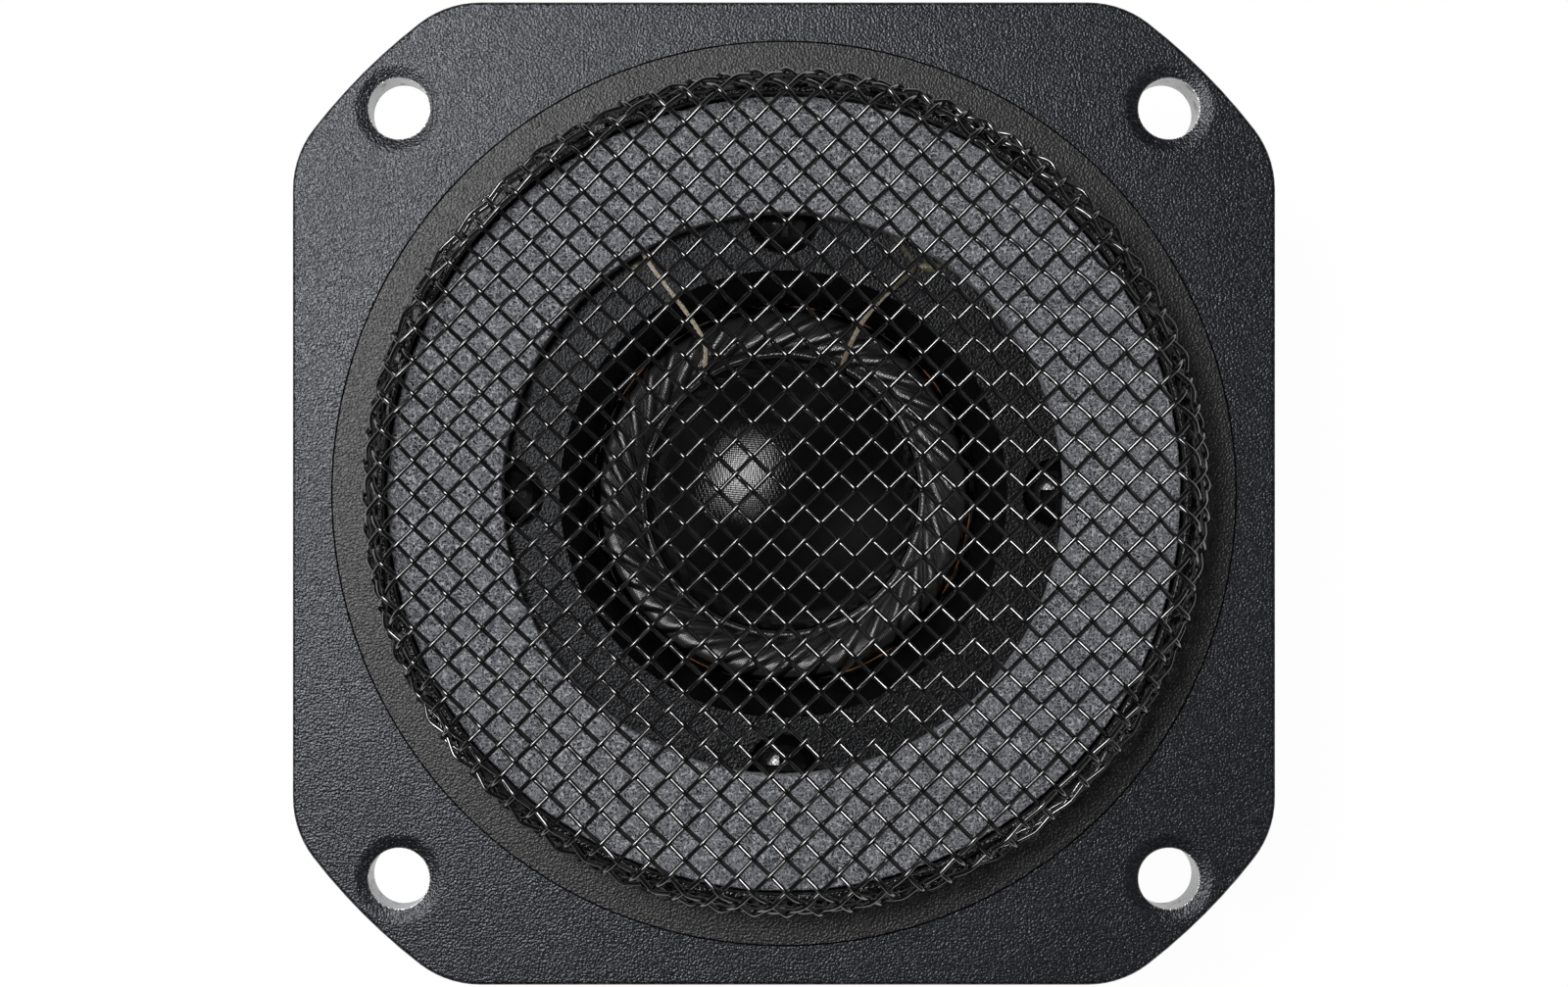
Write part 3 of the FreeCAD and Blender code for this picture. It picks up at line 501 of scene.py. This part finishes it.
def wander(along, seed, size):
    """A slow, smooth wobble with the same value each run."""
    spots = [noise.noise((float(value) / (7 * MM), seed * 3.7, 0.5)) for value in along]
    return np.array(spots) * size


def crimp(phase, height):
    """A wire's height as it goes over and under: straight slopes with rounded bends."""
    return height * np.arcsin(BEND * np.cos(math.pi * phase)) / math.asin(BEND)


def weave(name, own, other, first_over, height):
    """All wires of one set; own and other are this set and the set that it crosses."""
    direction, start, pitch = own
    other_direction, other_start, other_pitch = other
    across = Vector((-direction.y, direction.x))
    other_across = Vector((-other_direction.y, other_direction.x))
    count = int(cloth_radius / pitch) + 2
    routes = []
    for index in range(-count, count + 1):
        offset = start + index * pitch
        if abs(offset) > cloth_radius - EDGE_GAP:
            continue
        half = math.sqrt(cloth_radius**2 - offset**2)
        points = max(int(2 * half / pitch * STEPS), 8)
        along = np.linspace(-half, half, points)
        x = along * direction.x + offset * across.x
        y = along * direction.y + offset * across.y
        phase = (x * other_across.x + y * other_across.y - other_start) / other_pitch
        lift = crimp(phase + index + first_over, height)
        side = wander(along, index + first_over * 50, WANDER)
        if not first_over:
            corner = np.clip(x / (30 * MM), 0, 1) * np.clip((y + 12 * MM) / (40 * MM), 0, 1)
            side = side + KINK * corner * np.sin(math.pi * (phase + index))
        routes.append(pressed(x + side * across.x, y + side * across.y, lift))
    piece = round_wires(name, routes, WIRE_RADIUS, resolution=2)
    print(f"{name}: {len(routes)} wires, {len(piece.data.polygons)} faces")
    return piece


def wire_set(degrees, start, pitch):
    """The direction, the first wire's offset to its left, and the pitch of one set of wires."""
    turned = math.radians(degrees)
    return Vector((math.cos(turned), math.sin(turned))), start * MM, pitch * MM


rising = wire_set(45.0, 0.063, 2.425)
falling = wire_set(-44.3, 0.129, 2.447)
wires_rising = weave("grille_wires_rising", rising, falling, 1, RISING_CRIMP)
wires_falling = weave("grille_wires_falling", falling, rising, 0, FALLING_CRIMP)

# %% [markdown]
# The wires are dipped in black enamel, which flows out glossy, with small lumps where it ran
# together.

# %% Finish: enamelled wire
enamel = Finish("grille_wire", tone(10, 9, 9), IOR=1.8, Coat_Weight=1.0, Coat_Roughness=0.05)
lumps = enamel.speckle(0.6, detail=2)
enamel.set("Roughness", 0.07 + lumps * 0.1)
enamel.relief(lumps, 0.006)
for piece in (wires_rising, wires_falling):
    wear(piece, enamel)
    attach(piece, "housing")
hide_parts("grille_screen")
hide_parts("grille_screen")
print("enamel on the wires")

# %% [markdown]
# ## The damping felt
# The felt is a flat ring die-cut from pressed grey wool. Its section is drawn once, its upper
# corners are softened, and it is spun round the middle. Then the surface is pushed about a little,
# because felt is never flat.

# %% Model the felt
felt_low, felt_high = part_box("felt_ring")
FELT_INNER = 29.8 * MM
FELT_ROUNDING = 0.35 * MM
felt_width = felt_high.x - FELT_INNER
felt_depth = felt_high.z - felt_low.z
bare_selection()
bpy.ops.mesh.primitive_plane_add(
    size=1,
    location=(FELT_INNER + felt_width / 2, 0, felt_low.z + felt_depth / 2),
    rotation=(math.pi / 2, 0, 0),
)
felt = bpy.context.object
felt.name = "felt_pad"
felt.scale = (felt_width, felt_depth, 1)
settle(felt)
bpy.ops.object.mode_set(mode="EDIT")
pick(felt, lambda co: co.z > felt_high.z - 0.1 * MM)
bpy.ops.mesh.bevel(offset=FELT_ROUNDING, segments=3, affect="VERTICES")
bpy.ops.mesh.select_all(action="SELECT")
bpy.ops.mesh.delete(type="ONLY_FACE")
bpy.ops.mesh.select_all(action="SELECT")
bpy.ops.mesh.subdivide(number_cuts=5)
spin_round(540)
roughen(felt, 0.9, 0.16)
roughen(felt, 4.0, 0.2)
bpy.ops.object.shade_smooth()
print("felt faces:", len(felt.data.polygons))

# %% [markdown]
# Pressed wool shows short fibres in every direction, some paler and some darker. Where a noise
# passes its middle value it draws thin winding lines, which look like fibres, and coarse noise
# clumps them.

# %% Finish: felt
wool = Finish("damping_felt", roughness=0.95, Sheen_Weight=0.2)


def fibres(cloth, size_mm, shift_mm, thin):
    """Thin winding lines where noise passes its middle: 1 along each line and 0 between."""
    shift = (shift_mm * MM, 0, shift_mm * MM)
    moved = cloth.node("ShaderNodeMapping", inputs={"Vector": cloth.place, "Location": shift})
    wandering = cloth.speckle(size_mm, detail=1, place=moved.outputs[0])
    return (wandering - 0.5).size().ramp(thin, thin * 0.2)


clumps = wool.speckle(1.1, detail=4)
pale_fibres = fibres(wool, 0.26, 0, 0.06)
more_fibres = fibres(wool, 0.2, 31, 0.06)
dark_fibres = fibres(wool, 0.22, 57, 0.08)
wool_tone = wool.blend(clumps.ramp(0.3, 0.7), tone(92, 93, 100), tone(154, 156, 164))
wool_tone = wool.blend(dark_fibres, wool_tone, tone(20, 20, 23))
wool_tone = wool.blend(more_fibres * 0.8, wool_tone, tone(196, 198, 205))
wool.set("Base Color", wool.blend(pale_fibres, wool_tone, tone(242, 244, 250)))
wool.relief(pale_fibres, 0.15)
wool.relief(clumps, 0.35)
wear(felt, wool)
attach(felt, "housing")
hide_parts("felt_ring")

# %% [markdown]
# ## The pleated surround
# The surround is coated cloth pressed into a half-roll, with sharp slanting pleats that let it
# stretch. The roll's section is half a circle with a flat lip inside and a flat rim outside. It is
# spun, and then each point is raised or lowered by the pleat that it lies on. Seen from the front,
# a pleat is a straight line that touches the inner lip, like the edge of a camera's iris blade.

# %% Model the roll
rim_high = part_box("surround")[1]
LIP_INNER, RIM_OUTER = 14.95 * MM, 22.3 * MM
ROLL_MIDDLE, ROLL_RADIUS = 17.7 * MM, 2.08 * MM
ROLL_INNER, ROLL_OUTER = ROLL_MIDDLE - ROLL_RADIUS, ROLL_MIDDLE + ROLL_RADIUS
ROLL_DROP = 1.9 * MM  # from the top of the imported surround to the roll's flat rim
STRIPS = 3  # strips of faces across the lip, and across the rim
CLOTH = 0.3 * MM
PLEATS = 36
roll_level = rim_high.z - ROLL_DROP
bare_selection()
bpy.ops.mesh.primitive_circle_add(
    vertices=72,
    radius=ROLL_RADIUS,
    location=(ROLL_MIDDLE, 0, roll_level),
    rotation=(math.pi / 2, 0, 0),
)
surround = bpy.context.object
surround.name = "surround_cloth"
settle(surround)
bpy.ops.object.mode_set(mode="EDIT")
bpy.ops.mesh.select_all(action="SELECT")
cut = (0, 0, roll_level + 0.001 * MM)
bpy.ops.mesh.bisect(plane_co=cut, plane_no=(0, 0, 1), clear_inner=True)
for edge_x, reach in ((ROLL_INNER, LIP_INNER), (ROLL_OUTER, RIM_OUTER)):
    step = (reach - edge_x) / STRIPS
    for count in range(STRIPS):
        here = edge_x + step * count
        pick(surround, lambda co: abs(co.x - here) < 0.02 * MM and co.z < roll_level + 0.02 * MM)
        bpy.ops.mesh.extrude_vertices_move(TRANSFORM_OT_translate={"value": (step, 0, 0)})
spin_round(864)
print("roll faces:", len(surround.data.polygons))

# %% [markdown]
# A pleat rises slowly on one side and falls steeply on the other, as pressed cloth does. The pleats
# fade out at both edges of the roll, and no two are quite alike.

# %% Press the pleats
PLEAT_CIRCLE = LIP_INNER
PLEAT_HEIGHT = 1.0 * MM
SLOW_SIDE = 0.6  # share of a pleat that rises
places = numbers(surround.data.vertices, "co")
outward = numbers(surround.data.vertex_normals, "vector")
if outward[places[:, 2].argmax(), 2] < 0:
    outward = -outward
radius = np.hypot(places[:, 0], places[:, 1])
turn = np.arctan2(places[:, 1], places[:, 0])
inward = np.clip((ROLL_OUTER - radius) / (2 * ROLL_RADIUS), 0, 1)
waver = np.array([noise.noise((x * 180, y * 180, 3.0)) for x, y in places[:, :2]])
slant = np.arccos(np.clip(PLEAT_CIRCLE / radius, 0, 1))
number = PLEATS * (turn + slant) / (2 * math.pi) + 0.07 * waver
share = number - np.floor(number)
ridge = np.where(share < SLOW_SIDE, share / SLOW_SIDE, (1 - share) / (1 - SLOW_SIDE))
fade = np.sin(math.pi * inward) ** 0.55
lift = (ridge - 0.55) * PLEAT_HEIGHT * fade * (1 + 0.3 * waver)
places += outward * lift[:, None]
surround.data.vertices.foreach_set("co", places.ravel())
surround.data.update()
wall = surround.modifiers.new("wall", "SOLIDIFY")
wall.thickness = CLOTH
wall.offset = -1
bpy.ops.object.modifier_apply(modifier="wall")
bpy.ops.object.shade_smooth()
print(f"pleats: {PLEATS}, lift {lift.min() / MM:.2f} to {lift.max() / MM:.2f} mm")

# %% [markdown]
# The surround bends between the plate and the dome. A bend is measured along one straight line.
# The ring is cut in twelve sectors, and two neighbours keep the whole ring's shading at their
# shared cut.

# %% Cut the surround in sectors
SECTORS = 12
ring_mesh = surround.data
ring_shade = numbers(ring_mesh.vertex_normals, "vector")
kept = ring_mesh.attributes.new("ring_shade", "FLOAT_VECTOR", "POINT")
kept.data.foreach_set("vector", ring_shade.ravel())


def cut_sector(index):
    """A copy of the ring that keeps only the faces between two radial cuts."""
    sector = bpy.data.objects.new(f"surround_sector_{index + 1:02d}", ring_mesh.copy())
    bpy.context.scene.collection.objects.link(sector)
    work = bmesh.new()
    work.from_mesh(sector.data)
    others = []
    for face in work.faces:
        middle = face.calc_center_median()
        turned = math.atan2(middle.y, middle.x) % (2 * math.pi)
        if int(turned / (2 * math.pi) * SECTORS) != index:
            others.append(face)
    bmesh.ops.delete(work, geom=others, context="FACES")
    work.to_mesh(sector.data)
    work.free()
    shade = numbers(sector.data.attributes["ring_shade"].data, "vector")
    sector.data.normals_split_custom_set_from_vertices([tuple(normal) for normal in shade])
    sector.data.attributes.remove(sector.data.attributes["ring_shade"])
    return sector


sectors = [cut_sector(index) for index in range(SECTORS)]
bpy.data.objects.remove(surround)
print("sectors:", len(sectors), "faces each:", len(sectors[0].data.polygons))

# %% [markdown]
# The cloth has a plain weave with a rubbery coat. The coat is glossy on top of each thread, so the
# faces that lean towards the lamp glitter with rows of dots, and the others stay black. The flat rim
# is bare and dull: black with full Metallic has almost no shine. A thin copper-coloured line of glue
# shows on it here and there.

# %% Finish: coated cloth
THREAD = 0.29 * MM
COPPER = tone(176, 116, 74)


def woven(cloth, pitch, turn):
    """Height of a plain weave with that pitch: 1 on the crest of each thread, 0 between."""
    slant = cloth.node(
        "ShaderNodeMapping", inputs={"Vector": cloth.place, "Rotation": (0, 0, math.radians(turn))}
    )
    parts = cloth.node("ShaderNodeSeparateXYZ", inputs={0: slant.outputs[0]})
    across = Varying(cloth.tree, parts.outputs[0]) * (2 * math.pi / pitch)
    along = Varying(cloth.tree, parts.outputs[1]) * (2 * math.pi / pitch)
    wobble = cloth.speckle(0.8, detail=1) * 3.0
    return (across + wobble).wave() * (along + wobble).wave() * 0.5 + 0.5


def copper_line(finish, radius, low, high):
    """1 on a thin ring round the axis, where soft noise is over low to high, and 0 elsewhere."""
    line = (distance(finish.x, finish.y) - radius).size().ramp(0.1 * MM, 0.05 * MM)
    return line * finish.speckle(3.5).ramp(low, high)


coated = Finish("coated_cloth", IOR=2.3)
threads = woven(coated, THREAD, 20)
flat_rim = distance(coated.x, coated.y).ramp(ROLL_OUTER - 0.3 * MM, ROLL_OUTER)
glue_line = copper_line(coated, 20.3 * MM, 0.53, 0.58)
cloth_tone = coated.blend(threads, tone(4, 4, 4), tone(13, 13, 14))
coated.set("Base Color", coated.blend(glue_line, cloth_tone, COPPER))
coated.set("Roughness", 0.36 - threads.ramp(0.4, 0.8) * 0.2)
coated.set("Metallic", flat_rim - glue_line)
coated.relief(threads * (1 - flat_rim * 0.8), 0.024)
coated.relief(coated.speckle(0.35), 0.03)
for index, sector in enumerate(sectors):
    wear(sector, coated)
    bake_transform(sector)
    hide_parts("surround")

# %% [markdown]
# ## The dome
# The dome is a cap of doped silk. It is part of a ball, so it starts as one, is cut at its foot, and
# gets the thickness of the cloth. A thin line of lacquer runs round its foot.

# %% Model the dome
SILK = 0.35 * MM
SEAM_RADIUS = 0.13 * MM
dome_low, dome_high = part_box("dome")
dome_rise = dome_high.z - dome_low.z
ball_radius = (dome_high.x**2 + dome_rise**2) / (2 * dome_rise)
bare_selection()
bpy.ops.mesh.primitive_uv_sphere_add(
    segments=160, ring_count=200, radius=ball_radius, location=(0, 0, dome_high.z - ball_radius)
)
dome = bpy.context.object
dome.name = "dome_cloth"
settle(dome)
bpy.ops.object.mode_set(mode="EDIT")
bpy.ops.mesh.select_all(action="SELECT")
bpy.ops.mesh.bisect(plane_co=dome_low, plane_no=(0, 0, 1), clear_inner=True)
bpy.ops.object.mode_set(mode="OBJECT")
wall = dome.modifiers.new("wall", "SOLIDIFY")
wall.thickness = SILK
wall.offset = -1
bpy.ops.object.modifier_apply(modifier="wall")
bpy.ops.object.shade_smooth()
bare_selection()
bpy.ops.mesh.primitive_torus_add(
    major_radius=dome_high.x,
    minor_radius=SEAM_RADIUS,
    major_segments=240,
    minor_segments=8,
    location=(0, 0, dome_low.z + 0.08 * MM),
)
seam = bpy.context.object
seam.name = "dome_seam"
settle(seam)
roughen(seam, 0.8, 0.08)
bpy.ops.object.shade_smooth()
print(f"dome rise {dome_rise / MM:.1f} mm, ball {ball_radius / MM:.1f} mm")

# %% [markdown]
# The silk is a fine twill. The dope is brushed on, so it lies thicker in some places, and the
# highlight on the crown is soft with the twill's lines in it.

# %% Finish: doped cloth
doped = Finish("doped_cloth", IOR=1.52)
weft = woven(doped, 0.33 * MM, 50)
lines = ((doped.x * 0.94 + doped.y * 0.34) * (2 * math.pi / (0.42 * MM))).wave() * 0.5 + 0.5
twill = weft * 0.7 + lines * 0.3
dope = doped.speckle(2.2, detail=3)
doped.set("Base Color", doped.blend(twill, tone(8, 8, 8), tone(20, 20, 21)))
doped.set("Roughness", 0.1 + dope * 0.04 - weft * 0.05)
doped.relief(twill, 0.017)
doped.relief(dope, 0.015)
wear(dome, doped)
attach(dome, "diaphragm")
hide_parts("dome")
lacquer = Finish("dome_lacquer", tone(14, 13, 13))
lacquer.set("Roughness", 0.22 + lacquer.speckle(0.6) * 0.3)
wear(seam, lacquer)
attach(seam, "diaphragm")

# %% [markdown]
# ## The two leads
# Each lead is a braid of fine tinsel strands, from its terminal up through a sleeve, out along the
# plate's floor, and over the surround to the voice coil. The route is a smooth curve. Eight strands
# wind round it, four each way, passing over and under each other.

# %% Lay out the leads
def spot(angle, radius, level):
    """A point by its angle in degrees, radius and height in millimetres."""
    turned = math.radians(angle)
    return Vector((math.cos(turned) * radius, math.sin(turned) * radius, level)) * MM


left_route = [
    spot(116.4, 40.24, -5.0),
    spot(116.4, 40.24, 1.0),
    spot(116.4, 40.24, 2.85),
    spot(116.7, 39.2, 2.85),
    spot(120.4, 31.4, 2.85),
    spot(120.2, 27.9, 2.85),
    spot(118.9, 24.0, 2.95),
    spot(117.4, 20.2, 2.65),
    spot(117.3, 17.9, 2.35),
    spot(121.8, 15.9, 1.0),
    spot(123.3, 15.3, 0.05),
]
right_route = [
    spot(93.6, 40.24, -5.0),
    spot(93.6, 40.24, 1.0),
    spot(93.6, 40.24, 2.85),
    spot(92.2, 39.4, 2.85),
    spot(67.8, 30.2, 2.85),
    spot(63.3, 28.9, 2.85),
    spot(59.4, 28.1, 2.85),
    spot(60.9, 25.9, 2.85),
    spot(63.8, 22.9, 2.95),
    spot(65.5, 20.0, 2.75),
    spot(65.9, 17.9, 2.35),
    spot(65.5, 15.9, 1.0),
    spot(65.3, 15.3, 0.05),
]


def smooth_line(route, step):
    """Evenly spaced points on the smooth curve that a route controls."""
    guide = bpy.data.curves.new("guide", "CURVE")
    guide.dimensions = "3D"
    guide.resolution_u = 24
    spline = guide.splines.new("NURBS")
    spline.points.add(len(route) - 1)
    for point, place in zip(spline.points, route):
        point.co = (*place, 1)
    spline.order_u = 3
    spline.use_endpoint_u = True
    holder = bpy.data.objects.new("guide", guide)
    line = numbers(bpy.data.meshes.new_from_object(holder).vertices, "co")
    bpy.data.objects.remove(holder)
    walked = np.r_[0, np.cumsum(np.linalg.norm(np.diff(line, axis=0), axis=1))]
    marks = np.linspace(0, walked[-1], int(walked[-1] / step) + 1)
    return np.stack([np.interp(marks, walked, line[:, k]) for k in range(3)], axis=1), walked[-1]


# %% Braid the leads
STRANDS = 8  # half of them wind each way
LAY = 2.6 * MM  # length of one turn of a strand
STRAND_RADIUS = 0.072 * MM
BRAID_RADIUS = 0.17 * MM  # from the braid's middle to a strand's
OVER_UNDER = 0.035 * MM


def braid(name, route):
    """Eight strands that follow a route, as one mesh."""
    line, length = smooth_line(route, 0.13 * MM)
    along = np.gradient(line, axis=0)
    along /= np.linalg.norm(along, axis=1)[:, None]
    aside = np.cross(along[0], (0.3, 0.9, 0.1))
    side = []
    for direction in along:
        aside = aside - direction * np.dot(aside, direction)
        aside = aside / np.linalg.norm(aside)
        side.append(aside)
    side = np.array(side)
    other = np.cross(along, side)
    marks = np.linspace(0, length, len(line)) * 2 * math.pi / LAY
    paths = []
    for index in range(STRANDS):
        way = 1 if index < STRANDS / 2 else -1
        begin = index * math.pi / 2 + (0 if way > 0 else math.pi / 4)
        angle = begin + way * marks
        out = BRAID_RADIUS + OVER_UNDER * way * np.cos(4 * marks)
        sideways = side * (out * np.cos(angle))[:, None] + other * (out * np.sin(angle))[:, None]
        paths.append(line + sideways)
    piece = round_wires(name, paths, STRAND_RADIUS, resolution=1)
    print(f"{name}: {length / MM:.1f} mm long, {len(piece.data.polygons)} faces")
    return piece


lead_left = braid("lead_left_braid", left_route)
lead_right = braid("lead_right_braid", right_route)

# %% [markdown]
# Tinsel is cream-coloured thread with copper foil in it. It has gone brown in places. The whole
# right lead is coloured browner, and the part of that lead that lies in the adhesive is a dull olive.

# %% Finish: tinsel
tinsel = Finish("tinsel_lead", roughness=0.36, Specular_IOR_Level=0.6)
stains = tinsel.speckle(1.3, detail=3)
flecks = tinsel.speckle(0.2, detail=1).ramp(0.5, 0.7)
clean = tinsel.blend(flecks, tone(232, 216, 188), tone(255, 250, 240))
on_right = tinsel.x.ramp(0, 1 * MM)
tinsel_tone = tinsel.blend(stains.ramp(0.56, 0.68), clean, tone(112, 92, 66))
# the whole right lead is coloured half-way to brown
tinsel_tone = tinsel.blend(on_right * 0.5, tinsel_tone, tone(120, 92, 62))
in_glue = on_right * tinsel.y.ramp(21.2 * MM, 22.2 * MM)
tinsel.set("Base Color", tinsel.blend(in_glue, tinsel_tone, tone(96, 92, 74)))
tinsel.relief(flecks, 0.03)
for piece, route in ((lead_left, left_route), (lead_right, right_route)):
    wear(piece, tinsel)
    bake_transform(piece)
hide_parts("lead_left")
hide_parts("lead_right")

# %% [markdown]
# A dab of adhesive holds each lead to the floor. It was wiped on, so it is long and low, and its
# surface shrank into lumps. A ball is flattened, pushed about and cut off at the floor.

# %% Model and finish the adhesive
plate_floor = felt_low.z


def dab(place, size, turn):
    """A low lump of dried adhesive; size is its length, width and height above the floor."""
    bare_selection()
    bpy.ops.mesh.primitive_ico_sphere_add(subdivisions=5, radius=1, location=place)
    lump = bpy.context.object
    lump.scale = size
    lump.rotation_euler = (0, 0, math.radians(turn))
    settle(lump)
    roughen(lump, 0.5, 0.16)
    bpy.ops.object.mode_set(mode="EDIT")
    bpy.ops.mesh.select_all(action="SELECT")
    at_floor = (0, 0, plate_floor + 0.01 * MM)
    bpy.ops.mesh.bisect(plane_co=at_floor, plane_no=(0, 0, 1), clear_inner=True, use_fill=True)
    bpy.ops.object.mode_set(mode="OBJECT")
    bpy.ops.object.shade_smooth()
    return lump


left_dab = dab((-15.7 * MM, 24.0 * MM, plate_floor), (0.9 * MM, 0.6 * MM, 0.4 * MM), 60)
right_dab = dab((15.9 * MM, 24.1 * MM, plate_floor), (1.5 * MM, 0.55 * MM, 0.4 * MM), -8)
bare_selection()
left_dab.select_set(True)
right_dab.select_set(True)
bpy.context.view_layer.objects.active = left_dab
bpy.ops.object.join()
left_dab.name = "adhesive_dabs"
olive = Finish("olive_adhesive", Coat_Weight=0.3)
olive_spots = olive.speckle(0.5, detail=3)
olive.set("Base Color", olive.blend(olive_spots, tone(64, 62, 46), tone(128, 124, 98)))
olive.set("Roughness", 0.2 + olive_spots * 0.3)
olive.relief(olive_spots, 0.1)
wear(left_dab, olive)
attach(left_dab, "housing")
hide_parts("lead_adhesive")
print("adhesive faces:", len(left_dab.data.polygons))

# %% [markdown]
# ## Finishes for the small front parts
# The screws are blackened steel with a glossy, oily look. The bead round the surround's rim is amber
# adhesive, but it is painted over except for a thin copper-coloured line here and there.

# %% Finishes: screws, bead and flange
black_screw = Finish("black_screw", tone(18, 17, 17), metallic=0.35, Coat_Weight=0.7)
scuffs = black_screw.speckle(0.6, detail=4)
black_screw.set("Roughness", 0.1 + scuffs * 0.22)
black_screw.relief(scuffs, 0.04)
dress("clamp_screws", black_screw)

amber = Finish("amber_adhesive", roughness=0.55)
bared = copper_line(amber, 20.55 * MM, 0.5, 0.56)
amber.set("Base Color", amber.blend(bared, tone(20, 18, 17), COPPER))
amber.relief(amber.speckle(0.4), 0.04)
dress("surround_bead", amber)

flange_plastic = Finish("flange_plastic", tone(24, 24, 25))
flange_plastic.relief(flange_plastic.speckle(0.3, detail=3), 0.03)
flange_plastic.set("Roughness", 0.42 + flange_plastic.speckle(2, detail=3) * 0.16)
dress("diaphragm_flange", flange_plastic)
print("black_screw, amber, flange_plastic")

# %% [markdown]
# The gasket and the pole's damper are fibre and felt, with short streaks that run two ways.

# %% Finishes: gasket, damper and sleeves
for node, name, dark, pale in (
    ("flange_gasket", "gasket_fibre", tone(48, 44, 40), tone(86, 80, 72)),
    ("pole_damper", "damper_felt", tone(60, 60, 62), tone(110, 110, 112)),
):
    fibre = Finish(name, roughness=0.9)
    fleece = fibre.speckle(0.12, detail=2, stretch=(1, 0.2, 1), turn=30)
    fleece = fleece.math("MAXIMUM", fleece, fibre.speckle(0.12, stretch=(0.2, 1, 1), turn=15))
    fibre.set("Base Color", fibre.blend(fleece.ramp(0.4, 0.75), dark, pale))
    fibre.relief(fleece, 0.15)
    dress(node, fibre)

sleeve_plastic = Finish("sleeve_plastic", tone(46, 42, 36))
sleeve_plastic.set("Roughness", 0.25 + sleeve_plastic.speckle(0.5) * 0.25)
sleeve_plastic.relief(sleeve_plastic.speckle(0.3), 0.02)
dress("lead_sleeves", sleeve_plastic)
print("gasket_fibre, damper_felt, sleeve_plastic")

# %% [markdown]
# ## The voice coil
# The former is thin aluminium foil. The winding is copper wire in lacquer, a tenth of a millimetre
# thick, laid turn on turn, so its lines run round the coil and follow the height.

# %% Finishes: former, winding and solder
former_foil = Finish("former_foil", tone(190, 191, 194), metallic=1.0)
former_foil.set("Roughness", 0.2 + former_foil.speckle(1, detail=3) * 0.2)
former_foil.relief(former_foil.speckle(0.8), 0.02)
dress("coil_former", former_foil)

coil_wire = Finish("coil_wire", roughness=0.3, metallic=0.9, Coat_Weight=0.6)
turns = (coil_wire.z * (2 * math.pi / (0.11 * MM))).wave() * 0.5 + 0.5
coil_wire.set("Base Color", coil_wire.blend(turns, tone(92, 44, 24), tone(190, 104, 56)))
coil_wire.relief(turns, 0.03)
dress("voice_coil", coil_wire)

solder = Finish("solder", tone(176, 178, 180), metallic=0.9)
frost = solder.speckle(0.25, detail=3)
solder.set("Roughness", 0.18 + frost * 0.3)
solder.relief(frost, 0.03)
dress("tag_solder", solder)
dress("coil_lead_joints", lacquer)
print("former_foil, coil_wire, solder")

# %% [markdown]
# ## The terminals
# The board is brown phenolic paper. The tags are tinned brass, rolled, so their scratches run one
# way. The rivets are plain brass, and the screw is zinc plated.

# %% Finishes: terminals
board = Finish("phenolic_board", roughness=0.42, Coat_Weight=0.2)
paper = board.speckle(0.3, detail=4, stretch=(1, 0.3, 1), turn=15)
board.set("Base Color", board.blend(paper, tone(70, 40, 22), tone(126, 80, 48)))
board.relief(paper, 0.03)
dress("terminal_board", board)


def plated(name, colour, pale, roughness, depth_mm):
    """Plated metal with fine scratches and cloudy patches."""
    metal = Finish(name, metallic=1.0)
    scratches = metal.speckle(0.08, detail=3, stretch=(0.08, 1, 1), turn=8)
    clouds = metal.speckle(5, detail=4)
    metal.set("Base Color", metal.blend(clouds.ramp(0.3, 0.7), colour, pale))
    metal.set("Roughness", roughness - 0.08 + clouds * 0.14 + scratches * 0.1)
    metal.relief(scratches, depth_mm)
    return metal


tinned = plated("tinned_brass", tone(176, 174, 166), tone(200, 198, 190), 0.3, 0.01)
brass = plated("rivet_brass", tone(168, 134, 76), tone(196, 164, 100), 0.3, 0.01)
zinc = plated("zinc_screw", tone(170, 172, 176), tone(198, 200, 204), 0.26, 0.01)
for node in ("terminal_positive", "terminal_negative"):
    dress(node, tinned)
dress("terminal_rivets", brass)
dress("board_screw", zinc)
print("phenolic_board, tinned_brass, rivet_brass, zinc_screw")

# %% [markdown]
# ## The magnet system
# The plates are zinc-plated steel with a faint yellow and blue tint. The magnet is sintered
# ferrite, a dull dark grey with fine pores and a few pale chips on its edges.

# %% Finishes: plates and magnet
steel = plated("plated_steel", tone(150, 150, 148), tone(182, 180, 168), 0.34, 0.015)
for node in ("top_plate", "pole_piece", "back_plate"):
    dress(node, steel)

ferrite = Finish("ferrite")
pores = ferrite.speckle(0.25, detail=5)
dust = ferrite.speckle(7, detail=4)
ferrite_tone = ferrite.blend(dust.ramp(0.3, 0.75), tone(42, 41, 42), tone(66, 65, 66))
ferrite.set("Base Color", ferrite.blend(pores.ramp(0.62, 0.72), ferrite_tone, tone(96, 95, 95)))
ferrite.set("Roughness", 0.5 + pores * 0.25)
ferrite.relief(pores, 0.08)
dress("magnet_ring", ferrite)
print("plated_steel, ferrite")
